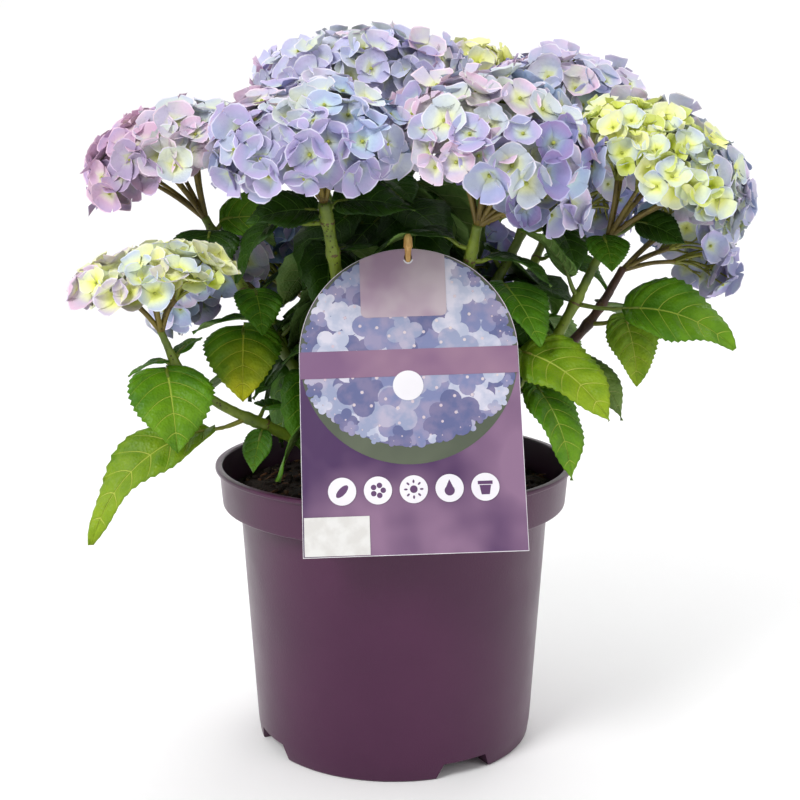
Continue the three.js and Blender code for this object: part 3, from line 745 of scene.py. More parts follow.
shoot("top", "flower_lilac", (INNER_RING, 250),
      ((-8, 8, 255), (-13, 26, 330), (-16, 40, 390)),
      ((-20, 42, 418), 68, 36, 120, 5),
      (0.84, (-60, 20, 10), (-60, 10, 46, 34, 50), "deep"),
      (0.82, (190, 15, 12), (190, 5, 52, 38, 50), "deep"),
      (0.88, (60, 20, 10), (60, 10, 44, 34, 50), "deep"))
shoot("right_top", "flower_blue", (INNER_RING, 350),
      ((38, 12, 245), (78, 30, 315), (104, 45, 370)),
      ((110, 55, 404), 55, 38, 25, 14),
      (0.86, (-50, 15, 8), (-55, 0, 36, 28, 50), "deep"),
      (0.84, (110, 15, 10), (115, 5, 36, 28, 50), "deep"),
      (0.78, (-18, 12, 23), (-60, -35, 38, 34, 35), "deep"))
shoot("left_back", "flower_lilac", (OUTER_RING, 157),
      ((-50, 20, 222), (-74, 28, 256), (-86, 33, 282)),
      ((-120, 33, 289), 40, 30, 172, 35),
      (0.84, (80, 15, 8), (85, 0, 32, 28, 45), "deep"),
      (0.62, (165, 10, 14), (170, -5, 74, 50, 55), "mid"),
      (0.55, (-20, 15, 8), (-35, 0, 34, 30, 50), "deep"))
shoot("back_left_low", "flower_blue", (OUTER_RING, 125),
      ((-34, 42, 226), (-50, 66, 268)),
      ((-76, 92, 296), 37, 31, 135, 30),
      (0.8, (160, 10, 14), (165, 0, 62, 44, 55), "mid"),
      (0.6, (100, 10, 14), (110, -5, 76, 52, 60), "fresh"),
      (0.55, (20, 15, 8), (15, 0, 24, 22, 50), "deep"))
shoot("back_low", "flower_lilac", (OUTER_RING, 82),
      ((18, 48, 230), (38, 76, 280)),
      ((48, 106, 302), 38, 30, 75, 30),
      (0.62, (95, 10, 14), (92, -5, 78, 54, 60), "fresh"),
      (0.82, (10, 15, 10), (0, 0, 34, 28, 50), "deep"),
      (0.8, (165, 10, 10), (160, 0, 40, 32, 50), "mid"),
      (0.5, (40, 10, 10), (35, 0, 56, 44, 60), "mid"))
shoot("back_top", "flower_yellow", (INNER_RING, 70),
      ((20, 38, 262), (34, 74, 340), (46, 100, 398)),
      ((52, 112, 424), 35, 26, 70, 12),
      (0.84, (70, 15, 12), (75, 0, 52, 38, 55), "mid"),
      (0.82, (-110, 15, 10), (-105, 0, 38, 28, 50), "deep"))
shoot("back_left_high", "flower_lilac", (INNER_RING, 150),
      ((-16, 44, 255), (-32, 80, 318), (-50, 98, 354)),
      ((-66, 126, 382), 50, 37, 118, 22),
      (0.9, (190, 15, 12), (185, 5, 40, 34, 45), "mid"),
      (0.88, (20, 15, 12), (20, 0, 46, 34, 55), "fresh"))
shoot("back_right", "flower_lilac", (OUTER_RING, 50),
      ((62, 50, 240), (90, 82, 286), (108, 104, 322)),
      ((130, 132, 346), 47, 35, 45, 32),
      (0.88, (-30, 15, 12), (-35, 0, 50, 36, 55), "mid"),
      (0.6, (40, 10, 14), (45, -5, 78, 54, 60), "fresh"),
      (0.5, (20, 10, 12), (24, -5, 50, 40, 60), "mid"),
      (0.66, (120, 10, 8), (105, 0, 40, 32, 50), "deep"))
routes = {name: Route(known["route"]) for name, known in SHOOTS.items()}
print("shoots:", len(SHOOTS), "leaves:", sum(len(known["leaves"]) for known in SHOOTS.values()))

# %% [markdown]
# ## Stems
#
# A hydrangea's stem is half woody: olive green with small dark corky specks, ridged a little
# lengthways, and swollen and brown where a pair of leaves joins it. One bent bar per shoot takes
# that relief in its ring radii, from the old wood to the fork under the flower head.

# %% Stem finishes


def stem_finish(name, main, shade, speck):
    finish = Finish(name, main, 0.5)
    green = finish.mix(finish.between(finish.noise(70, 4), *GRAIN_SPAN), shade, main)
    dots = finish.between(finish.spots(420), 0.16, 0.26, 1.0, 0.0)
    patchy = finish.sum("MULTIPLY", dots, finish.between(finish.noise(160, 2), 0.42, 0.6))
    finish.set("Base Color", finish.mix(patchy, green, speck))
    finish.bump(finish.sum("ADD", finish.noise(900, 2, (1, 1, 0.12)), patchy), 0.0004)
    return finish


STEM_TONES = (
    ("olive_stem", "#74861e", "#4e6116", "#3a2a1c"), ("purple_stem", "#5b3a2c", "#3d2a24", "#241512"),
    ("node_brown", "#5c4a22", "#47301a", "#2a1a10"), ("ray_green", "#9a983c", "#747a26", "#4a3a1c"),
    ("ray_brown", "#80702c", "#5c4c1e", "#3a2616"),
)
stem_finishes = [stem_finish(*tones) for tones in STEM_TONES]
OLIVE, PURPLE, NODE, RAY, BROWN_RAY = range(5)
print("stem finishes:", len(stem_finishes))

# %% Stems from the woody base to the forks
STEM_ROOT_RADIUS = 4.6
STEM_FORK_RADIUS = 2.6
NODE_SWELL = 0.26
STEM_GIRTH = {"front_left": 1.3, "front_right": 1.15, "left_low": 0.82}
STEM_SIDES = 14
RING_GAP = 2.2
NODE_REACH = 3.2
BARK_ROUGHNESS = 0.35
DARK_SHOOTS = ("right_low",)
COLLAR_GAP = 9.0
COLLAR_HALF = 2.0
COLLAR_FORM = np.array([0.92, 1.2, 1.28, 1.2, 0.92])
COLLAR_ROUGHNESS = 0.07


def stem_radius(name, share):
    slim = STEM_ROOT_RADIUS + (STEM_FORK_RADIUS - STEM_ROOT_RADIUS) * share
    return slim * (1 + (STEM_GIRTH.get(name, 1) - 1) * share)


def unevenness(draw, points):
    return np.array([draw() - 0.5 for _ in points])[:, None]


def grow_stem(heap, name, known):
    route = routes[name]
    rings = int(route.length / RING_GAP)
    shares = np.linspace(0, 1, rings + 1)
    places = sorted({leaf[0] for leaf in known["leaves"]})
    near = np.min([np.abs(shares - at) for at in places], axis=0) * route.length
    radii = stem_radius(name, shares) * (1 + NODE_SWELL * np.exp(-(near / NODE_REACH) ** 2))
    pattern, points = bend_tube(route, shares, radii, STEM_SIDES)
    draw = seeded(known["seed"] + STEM_SEED)
    ring = np.round(pattern.points[:, 2] * rings).astype(int)
    points += unit(points - route.at(shares)[ring]) * unevenness(draw, points) * BARK_ROUGHNESS
    heap.add(pattern, points, PURPLE if name in DARK_SHOOTS else OLIVE)
    for at in [b for a, b in zip([-1] + places, places) if (b - a) * route.length > COLLAR_GAP]:
        along = at + np.linspace(-COLLAR_HALF, COLLAR_HALF, len(COLLAR_FORM)) / route.length
        collar, points = bend_tube(route, along, stem_radius(name, at) * COLLAR_FORM, STEM_SIDES)
        points = points + (points - route.at(at)) * unevenness(draw, points) * COLLAR_ROUGHNESS
        heap.add(collar, points, NODE)


stem_heap = Heap("bark_stems", stem_finishes, "stem")
for name, known in SHOOTS.items():
    grow_stem(stem_heap, name, known)
stem_heap.build(*[f"stem_{name}" for name in SHOOTS])

# %% Woody base
BASE_SIDES = 60
KNOBS = 60
KNOB_DEPTH = 3.0
KNOB_HEIGHT = 0.8


def woody_base():
    low, high = (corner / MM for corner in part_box("woody_base"))
    foot, top, wide = low.z, high.z, high.x
    outline = rounded([(0, foot - 2, 0), (wide - 1, foot - 2, 2), (wide - 2, foot + 5, 3),
                       (wide - 6, top - 3, 3), (wide - 9, top - 0.5, 3), (0, top - 0.5, 0)])
    bm = spun(outline, BASE_SIDES)
    bmesh.ops.subdivide_edges(bm, edges=bm.edges[:], cuts=1, use_grid_fill=True)
    draw = seeded(3)
    knobs = np.array([((draw() * 2 - 1) * wide, (draw() * 2 - 1) * wide, 4 + 5 * draw(), 2.6 * draw() - 1.6)
                      for _ in range(KNOBS)])
    for v in bm.verts:
        swell = max(-KNOB_DEPTH, min(KNOB_HEIGHT, lump_heights(knobs, v.co)))
        v.co.z += swell * 0.5 * (v.co.z > foot)
        v.co.x *= 1 + 0.02 * swell
        v.co.y *= 1 + 0.02 * swell
    return object_from(bm, "old_wood")


bark = grained("brown_bark", "#5c442c", 0.85, (180, 6), ("#33231a", "#7d6344"), (350, 8), 0.0014)
complete(woody_base(), 80, bark, "old_wood", "woody_base")

# %% [markdown]
# ## Leaves
#
# A leaf is broad and pointed with a saw-toothed edge. Its side veins leave the midrib low down
# and sweep towards the tip, sunk in the upper face, with the blade swelling between them. If the
# rows of the mesh run along those veins, the relief and the teeth both follow from the row
# number. The pattern is a flat slab in two numbers, one along the edge and one across, which a
# formula then bends into each leaf's own place.

# %% Leaf pattern
LEAF_GRID = (10, 32)
INNER_LEAF_GRID = (4, 12)
VEIN_SPACES = 8
LEAF_THICKNESS = 0.45
TOOTH = 0.038
SWEEP = 0.4
LOBE = 0.07


def leaf_pattern(columns, rows):
    """A slab from -1 to 1 across and 0 to 1 along; the upper sheet has z above 0"""
    bm = bmesh.new()
    bmesh.ops.create_grid(bm, x_segments=columns, y_segments=rows, size=1)
    bmesh.ops.transform(bm, matrix=Matrix.Diagonal((1, 0.5, 1, 1)), verts=bm.verts[:])
    bmesh.ops.translate(bm, verts=bm.verts[:], vec=(0, 0.5, 0))
    bmesh.ops.reverse_faces(bm, faces=bm.faces[:])
    upper = bmesh.ops.extrude_face_region(bm, geom=bm.faces[:], use_keep_orig=True)
    bmesh.ops.translate(bm, verts=vertices(upper), vec=(0, 0, 1))
    bmesh.ops.recalc_face_normals(bm, faces=bm.faces[:])
    for face in bm.faces:
        face.material_index = 1 if all(v.co.z < 0.5 for v in face.verts) else 0
    return Pattern(bm)


leaf_shape = leaf_pattern(*LEAF_GRID)
inner_leaf_shape = leaf_pattern(*INNER_LEAF_GRID)
print("faces in one leaf:", len(leaf_shape.sizes), "and in an inner one:", len(inner_leaf_shape.sizes))


def blade_half_width(share):
    """Half the width of an ovate blade at a share of its length, for a full width of 1"""
    share = np.clip(share, 0, 1)
    return 0.5 * share ** 0.5 * (1 - share) ** 1.08 / 0.373


# %% Bending a leaf
LEAF_FOLD = radians(14)
LEAF_TWIST = 16
QUILT = 0.02
GROOVE = 0.008
WAVE = 0.03


def leaf_plan(pattern, width, length):
    """Where each point of the pattern lies along the midrib, and how far off it"""
    v, t, _ = pattern.points.T
    side = np.abs(v)
    rows = round(1 / np.diff(np.unique(np.round(t, 6))).min())
    row = np.round(t * rows)
    half = blade_half_width(t) * width / length
    start = np.maximum(t - SWEEP * half * 2, 0.012 * t)
    start = np.where(t > 0.999, 1, start)
    share = start + (t - start) * (0.6 * side + 0.4 * side ** 2.4)
    edge = np.where(side > 0.99, np.where(row % 2 == 0, 1.0, -0.8), 0) * np.sin(np.pi * t) ** 0.4
    reach = half * side ** 0.92 * length * (1 + edge * TOOTH)
    share = share + 0.012 * np.maximum(edge, 0) - LOBE * side ** 2 * np.exp(-(t / 0.14) ** 2)
    return side, share, reach


def bend_leaf(pattern, base, heading, pitch, length, width, droop, roll=0, *, draw):
    """A leaf pattern laid out along an arching midrib, in millimetres"""
    v, t, top = pattern.points.T
    side, share, reach = leaf_plan(pattern, width, length)
    bend = radians(droop)
    begin = radians(pitch)
    out = length * (sin(begin) - np.sin(begin - bend * share)) / bend
    rise = length * (np.cos(begin - bend * share) - cos(begin)) / bend
    along = pointing(heading, pitch - droop * share)
    level = pointing(heading, 0)
    across = np.broadcast_to(np.array([level[1], -level[0], 0]), along.shape)
    face = np.cross(across, along)
    angle = np.radians(roll + LEAF_TWIST * (draw() - 0.5) * share)[:, None]
    c, s = np.cos(angle), np.sin(angle)
    across, face = across * c - face * s, face * c + across * s
    quilt = -QUILT * length * np.cos(2 * np.pi * t * VEIN_SPACES) * side ** 0.6 * (1 - side ** 5)
    quilt = quilt * np.sin(np.pi * np.clip(t, 0, 1)) ** 0.5
    groove = -GROOVE * length * np.exp(-(side / 0.08) ** 2)
    wave = WAVE * length * side ** 2 * np.sin(2 * np.pi * (1.7 * t + draw()) + np.sign(v))
    folded = reach * sin(LEAF_FOLD) * (1 - 0.6 * side ** 2)
    height = folded + quilt + groove + wave + top * LEAF_THICKNESS
    points = base + level * out[:, None] + UP * rise[:, None]
    points = points + across * (np.sign(v) * reach * cos(LEAF_FOLD))[:, None] + face * height[:, None]
    return points, np.stack([t * VEIN_SPACES, 0.5 + 0.5 * v], axis=-1)


print("points in one leaf:", len(leaf_shape.points))

# %% Leaf finishes


def vein_lines(finish, along, across):
    """1 on the midrib and on the side veins, from the leaf's own map"""
    off_middle = finish.sum("ABSOLUTE", finish.sum("SUBTRACT", across, 0.5))
    side_vein = finish.between(finish.sum("PINGPONG", along, 0.5), 0.012, 0.045, 1.0, 0.0)
    fading = finish.between(off_middle, 0.2, 0.5, 1.0, 0.12)
    midrib = finish.between(off_middle, 0.005, 0.018, 1.0, 0.0)
    return finish.sum("MAXIMUM", finish.sum("MULTIPLY", side_vein, fading), midrib)


def leaf_finish(name, main, shade, vein, tip, roughness):
    finish = Finish(name, main, roughness, Specular_IOR_Level=0.24)
    along, across, _ = finish.own_map()
    lines = vein_lines(finish, along, across)
    green = finish.mix(finish.between(finish.noise(90, 5), *GRAIN_SPAN), shade, main)
    to_tip = finish.between(along, VEIN_SPACES * 0.45, VEIN_SPACES * 1.05)
    patchy = finish.sum("MULTIPLY", to_tip, finish.between(finish.noise(55, 3), 0.25, 0.6))
    green = finish.mix(patchy, green, tip)
    finish.set("Base Color", finish.mix(finish.sum("MULTIPLY", lines, 0.7), green, vein))
    net = finish.sum("MULTIPLY", finish.spots(600), 0.7)
    finish.bump(finish.sum("SUBTRACT", net, lines), 0.0005)
    return finish


# The deep and mid greens are darker copies of the leaf green: partly the darker green of older leaves, partly
# painted shade for leaves in the crown's shadow.
LEAF_TONES = {
    "deep": ("#284809", "#183505", "#5f8a2b", "#32580c"),
    "mid": ("#406e0c", "#2b5408", "#93b03a", "#507f0e"),
    "fresh": ("#57860e", "#3e6e08", "#b4c64e", "#78a014"),
    "lime": ("#789618", "#5c8210", "#c8d35c", "#94ac1c"),
    "autumn": ("#527f0e", "#3a6808", "#c8cc48", "#c6c416"),
    "dull": ("#5f7834", "#466022", "#a0ae62", "#6f8a3a"),
}
UNDERSIDE = ("#72904c", "#597a3a", "#b2c284", "#7f9a4c")
leaf_finishes = []
for tone, colours in LEAF_TONES.items():
    leaf_finishes.append(leaf_finish(f"leaf_{tone}", *colours, 0.46))
    leaf_finishes.append(leaf_finish(f"leaf_{tone}_under", *UNDERSIDE, 0.6))
leaf_number = {tone: 2 * i for i, tone in enumerate(LEAF_TONES)}
print("leaf finishes:", len(leaf_finishes))

# %% Grow the leaves


STALK_SHARES = np.linspace(0, 1, 9)
STALK_RADII = 1.75 - 0.9 * STALK_SHARES
STALK_SAG = UP * 1.5
STALK_ONTO_BLADE = 6


def grow_stalk(heap, root, base, ahead, finish):
    middle = (root + base) / 2 - STALK_SAG
    route = Route([root, middle, base, base + ahead * STALK_ONTO_BLADE])
    heap.add(*bend_tube(route, STALK_SHARES, STALK_RADII, 8), finish)


def grow_leaf(leaves, stalks, name, leaf, draw):
    """A leaf on its stalk. A blade without a sixth number isn't rolled to one side"""
    at, (heading, pitch, length), blade, tone = leaf
    root = routes[name].at(at)
    base = root + pointing(heading, pitch) * length
    points, flat_map = bend_leaf(leaf_shape, base, *blade, draw=draw)
    leaves.add(leaf_shape, points, leaf_number[tone], flat_map)
    grow_stalk(stalks, root, base, pointing(blade[0], blade[1]), RAY if tone == "lime" else OLIVE)


leaf_heap = Heap("leaf_blades", leaf_finishes, "leaf")
stalk_heap = Heap("leaf_stalks", stem_finishes, "stem")
for name, known in SHOOTS.items():
    draw = seeded(known["seed"] + LEAF_SEED)
    for leaf in known["leaves"]:
        grow_leaf(leaf_heap, stalk_heap, name, leaf, draw)
print("leaves of the solids:", len(leaf_heap.points))

# %% [markdown]
# Inside the crown a hydrangea is dense: leaves fill the space under the flower heads, most of them
# in the deep and mid greens, partly the darker green of older leaves and partly painted shade of the
# crown's inside. Candidates are drawn at random places in that space, each on the stem nearest to
# it, and a candidate is only kept where it runs into no flower head, pot or label, and where it
# leaves open the gaps through which the background shows.

# %% Rules for the inner leaves
CROWN_MIDDLE = np.array([4.0, 22.0, 278.0])
CROWN_REACH = np.array([118.0, 96.0, 82.0])
INNER_TRIES = 2600
INNER_LEAVES = 210
SOIL_CLEARANCE = 176
WIDTH_SHARE = 0.72
CARD_MIDDLE_X = 13.0
# Ovals of the picture in which the background shows: middle, half width and half height in pixels
SKY_WINDOWS = (
    (122, 236, 50, 14), (205, 330, 52, 22), (160, 352, 60, 26), (140, 400, 70, 60), (237, 418, 18, 16),
    (282, 219, 10, 7), (537, 254, 17, 12), (491, 266, 10, 10), (634, 270, 32, 17), (606, 272, 9, 17),
    (570, 338, 11, 10), (690, 360, 70, 80), (570, 420, 60, 40), (100, 240, 60, 18), (358, 199, 4, 9),
    (582, 332, 22, 13), (590, 286, 7, 14),
)
# An oval in which no inner leaf that is nearer than LEAF_FRONT hides a leaf of the solids
SHOWN_LEAVES = ((250, 356, 34, 42),)
LEAF_FRONT = -35.0
HEAD_MARGIN = -9
POT_MARGIN = 8
LIP_MARGIN = 12
CARD_HALF = 70
# A line a little behind the leaning card: its place in depth at a height, and its slope
CARD_BACK_Y, CARD_BACK_Z, CARD_SLOPE = -112, 156.6, 0.431


def on_picture(points):
    """Where points in millimetres fall on the 800 pixel picture"""
    tilt = radians(CAMERA_DOWN)
    away = points - np.array(CAMERA_PLACE)
    ahead = away[..., 1] * cos(tilt) - away[..., 2] * sin(tilt)
    up = away[..., 1] * sin(tilt) + away[..., 2] * cos(tilt)
    zoom = CAMERA_LENS / SENSOR_WIDTH * PICTURE_SIZE
    middle = PICTURE_SIZE / 2
    return np.stack([middle + zoom * away[..., 0] / ahead, middle - zoom * up / ahead], axis=-1)


def head_frame(head):
    axis = pointing(head.heading, 90 - head.lean)
    across = unit(np.cross(pointing(head.heading + 90, 0), axis))
    return axis, across, np.cross(axis, across)


def within(head, points, margin):
    """Which points lie in a head's space, grown by a margin"""
    axis, across, beside = head_frame(head)
    offset = points - np.array(head.centre)
    up = offset @ axis / (head.rise + margin)
    x, y = offset @ across / (head.radius + margin), offset @ beside / (head.radius + margin)
    return x * x + y * y + up * up < 1


def covers(spots, windows):
    """Whether a spot of the picture lies in one of some ovals"""
    return any((((spots[:, 0] - u) / across) ** 2 + ((spots[:, 1] - v) / high) ** 2 < 1).any()
               for u, v, across, high in windows)


def leaf_fits(points):
    """Whether a leaf keeps clear of the heads, the pot, the label and the open gaps"""
    x, y, z = points.T
    in_pot = (z < POT_HEIGHT + LIP_MARGIN) & (np.hypot(x, y) > COLLAR_FOOT_RADIUS - POT_MARGIN)
    past_card = y <= CARD_BACK_Y + CARD_SLOPE * (z - CARD_BACK_Z)
    at_card = past_card & (np.abs(x - CARD_MIDDLE_X) < CARD_HALF)
    if (z < SOIL_CLEARANCE).any() or in_pot.any() or at_card.any():
        return False
    if any(within(known["heads"][0], points, HEAD_MARGIN).any() for known in SHOOTS.values()):
        return False
    spots = on_picture(points)
    return not covers(spots, SKY_WINDOWS) and not covers(spots[y < LEAF_FRONT], SHOWN_LEAVES)


print("gaps kept open:", len(SKY_WINDOWS))

# %% Grow the inner leaves
STALK_LIMIT = 40
HEADING_SPREAD, ROLL_SPREAD = 110, 70
LEAST_LENGTH, LENGTH_SPREAD = 44, 34
DEEP_SHARE, MID_SHARE = 0.66, 0.95
stem_points = np.concatenate([route.at(np.linspace(0.12, 0.92, 25)) for route in routes.values()])


def nearest_stem(place):
    """The point on a stem, a little lower than a place, that a leaf's stalk springs from"""
    return stem_points[np.argmin(np.linalg.norm(stem_points - place + UP * 6, axis=1))]


def grow_inner_leaves(leaves, stalks):
    draw = seeded(515)
    kept = 0
    for _ in range(INNER_TRIES):
        offset = np.array([draw() * 2 - 1, draw() * 2 - 1, draw() * 2 - 1])
        base = CROWN_MIDDLE + offset * CROWN_REACH
        root = nearest_stem(base)
        outward = degrees(atan2(base[1] - CROWN_MIDDLE[1], base[0] - CROWN_MIDDLE[0]))
        heading = outward + (draw() - 0.5) * HEADING_SPREAD
        length = LEAST_LENGTH + LENGTH_SPREAD * draw()
        blade = [heading, 5 - 55 * draw(), length, length * WIDTH_SHARE, 30 + 30 * draw()]
        blade.append((draw() - 0.5) * ROLL_SPREAD)
        turn, tone = draw(), draw()
        if np.linalg.norm(offset) > 1 or np.linalg.norm(base - root) > STALK_LIMIT or kept >= INNER_LEAVES:
            continue
        points, flat_map = bend_leaf(inner_leaf_shape, base, *blade, draw=seeded(int(turn * 9999)))
        if leaf_fits(points):
            # Most inner leaves take the deep or mid green, partly painted shade of the crown's inside.
            kind = "deep" if tone < DEEP_SHARE else "mid" if tone < MID_SHARE else "fresh"
            leaves.add(inner_leaf_shape, points, leaf_number[kind], flat_map)
            grow_stalk(stalks, root, base, pointing(*blade[:2]), OLIVE)
            kept += 1
    print("inner leaves:", kept)


inner_heap = Heap("inner_leaf_blades", leaf_finishes, "leaf")
grow_inner_leaves(inner_heap, stalk_heap)
leaf_heap.build(*[f"leaves_{name}" for name in SHOOTS])
inner_heap.build()
stalk_heap.build()

# %% [markdown]
# ## Flower heads
#
# A mophead is a ball of sterile florets. Each floret has four broad sepals that overlap like a
# pinwheel, dished round a tiny bud, on its own thin stalk. Colour runs from yellow-green at the
# eye through near white to lilac, blue or pink at the rim, and young heads are still yellow. The
# sepal pattern has five rows, which take four finishes from the eye to the rim. Each finish
# blends into the next, and together they make the run of colour.

# %% Sepal pattern
SEPAL_SHARES = (0.0, 0.27, 0.53, 0.75, 0.93, 1.0)
ROW_FINISHES = (0, 1, 2, 2, 3)
SEPAL_COLUMNS = 4


def sepal_pattern():
    """A flat sheet from -1 to 1 across and 0 at the eye to 1 at the rim"""
    rows = len(ROW_FINISHES)
    bm = bmesh.new()
    bmesh.ops.create_grid(bm, x_segments=SEPAL_COLUMNS, y_segments=rows, size=1)
    for face in bm.faces:
        face.material_index = ROW_FINISHES[int((face.calc_center_median().y + 1) / 2 * rows)]
    for v in bm.verts:
        v.co.y = SEPAL_SHARES[round((v.co.y + 1) / 2 * rows)]
    bmesh.ops.pointmerge(bm, verts=[v for v in bm.verts if v.co.y == 0], merge_co=(0, 0, 0))
    return Pattern(bm)


sepal_shape = sepal_pattern()
bud_shape = ball_pattern(lambda: 1)
print("faces in one sepal:", len(sepal_shape.sizes))

# %% Bending the sepals
SEPAL_BREADTH = 0.74
SEPAL_STACKING = 0.9


def turned(x, y, angle):
    """Places in a plane, turned about its middle"""
    c, s = cos(angle), sin(angle)
    return x * c - y * s, x * s + y * c


def bend_sepals(radius, cup, draw):
    """Four sepals round the eye of one floret, each with its own lift and wave"""
    v, r = sepal_shape.points[:, 0], sepal_shape.points[:, 1]
    sheets = []
    for k in range(4):
        size = radius * (0.9 + 0.2 * draw())
        turn = radians(90 * k + 10 * (draw() - 0.5))
        x = v * size * SEPAL_BREADTH * r ** 0.6 * (1 - 0.24 * r ** 3)
        y = size * r * (1 - 0.34 * r * np.abs(v) ** 1.7)
        dish = cup * (0.75 + 0.5 * draw()) * (1.0 * r ** 1.5 - 0.3 * r ** 4)
        curl = 0.10 * (draw() - 0.35) * r ** 4
        wave = 0.05 * np.sin(3.2 * v + 6.3 * draw()) * r ** 2 - 0.05 * (1 - np.abs(v)) * np.sin(np.pi * r)
        edge = 0.12 * (draw() - 0.2) * np.abs(v) ** 2 * r
        z = size * (dish + curl + wave + edge) + (SEPAL_STACKING if k % 2 else 0.0) * r ** 0.5
        sheets.append(np.stack([*turned(x, y, turn), z], axis=-1))
    return sheets


print("points in one sepal:", len(sepal_shape.points))

# %% Floret finishes
PETAL_TONES = {
    "lilac": ("#c6ce86", "#c3cdcf", "#a3a9cf", "#bdadd6", "#dbd7ec"),
    "pale_lilac": ("#d6dc90", "#dbe2d0", "#b8bddb", "#d8c4e0", "#e8e2f0"),
    "dawn": ("#d9de8c", "#e4e6c6", "#c9c3da", "#e3c0d8", "#eedbe8"),
    "cream": ("#d6de80", "#e3e8bc", "#d0d8d8", "#c0c8da", "#e4e0ec"),
    "pink": ("#d2d68e", "#dcd2cc", "#cfaac6", "#b9a2c8", "#e8cbe0"),
    "mauve": ("#babe8a", "#b9b0c0", "#a896ba", "#c4a0ba", "#d2bcda"),
    "sky": ("#c5d28c", "#bed2da", "#a5b8d8", "#b6b2da", "#d4dcf0"),
    # The violet and teal tones are deeper copies used as painted shade on hanging skirts and on heads in the
    # crown's shadow.
    "violet": ("#969f66", "#98a6be", "#898cbe", "#9a84b8", "#b8b4d8"),
    "teal": ("#879a6c", "#7893a2", "#6b86a4", "#7682a8", "#a2b2cc"),
    "lime": ("#b0c022", "#cad648", "#dce378", "#d0dc8c", "#e6ecb0"),
    "young": ("#d6e04a", "#eff286", "#f7f8b6", "#dbe2ca", "#eeeed8"),
    "young_lilac": ("#d8e05c", "#ecf094", "#ecedc4", "#c6b8d6", "#e0d8ea"),
    "young_sky": ("#d6df58", "#eaf096", "#e0eaca", "#b2bfda", "#d8deec"),
    "pale_sky": ("#d6dc98", "#dfe6e0", "#c0c6e6", "#cdc4e8", "#eceaf8"),
}
RIM_BLEND = 0.03


def petal_finish(name, near, far, shade, blush, from_share, to_share):
    """A run of colour from one row to the next, with a second hue on some outer parts"""
    finish = Finish(name, far, 0.6, Specular_IOR_Level=0.25)
    outward = finish.own_map()[1]
    run = finish.between(outward, from_share, to_share)
    clouded = finish.between(finish.noise(60, 4), 0.42, 0.7, 0.0, 0.55)
    tint = finish.mix(clouded, finish.mix(run, near, far), shade)
    if blush:
        outer = finish.between(outward, 0.38, 0.86)
        patch = finish.between(finish.noise(42, 2), 0.4, 0.56, 0.0, 0.9)
        tint = finish.mix(finish.sum("MULTIPLY", outer, patch), tint, blush)
    finish.set("Base Color", tint)
    finish.bump(finish.noise(420, 3), 0.0005)
    return finish


petal_finishes = []
for tone, (eye, inner, body, blush, rim) in PETAL_TONES.items():
    s = SEPAL_SHARES
    for row, *run in (("eye", eye, inner, eye, None, s[0], s[1]),
                      ("inner", inner, body, inner, blush, s[1], s[2]),
                      ("body", body, body, inner, blush, s[2], s[4]),
                      ("rim", body, rim, rim, None, s[4] - RIM_BLEND, s[4] + RIM_BLEND)):
        petal_finishes.append(petal_finish(f"petal_{tone}_{row}", *run))
petal_number = {tone: 4 * i for i, tone in enumerate(PETAL_TONES)}
bud_finish = Finish("floret_bud", "#a9b048", 0.5)
bud_finish.bump(bud_finish.noise(900, 3), 0.0004)
petal_finishes.append(bud_finish)
BUD = len(petal_finishes) - 1
print("petal finishes:", len(petal_finishes))

# %% [markdown]
# The tone of a floret depends on its side of the head. The side towards the light takes paler or
# pinker tones, partly the flower's own colour and partly painted light, and the hanging skirt takes
# deeper tones as painted shade; the youngest florets in the middle of a yellow head are still lime.
# Each head therefore lists a few tones with the way that each one faces, and a floret takes the tone
# that faces most nearly its own way, give or take some chance.

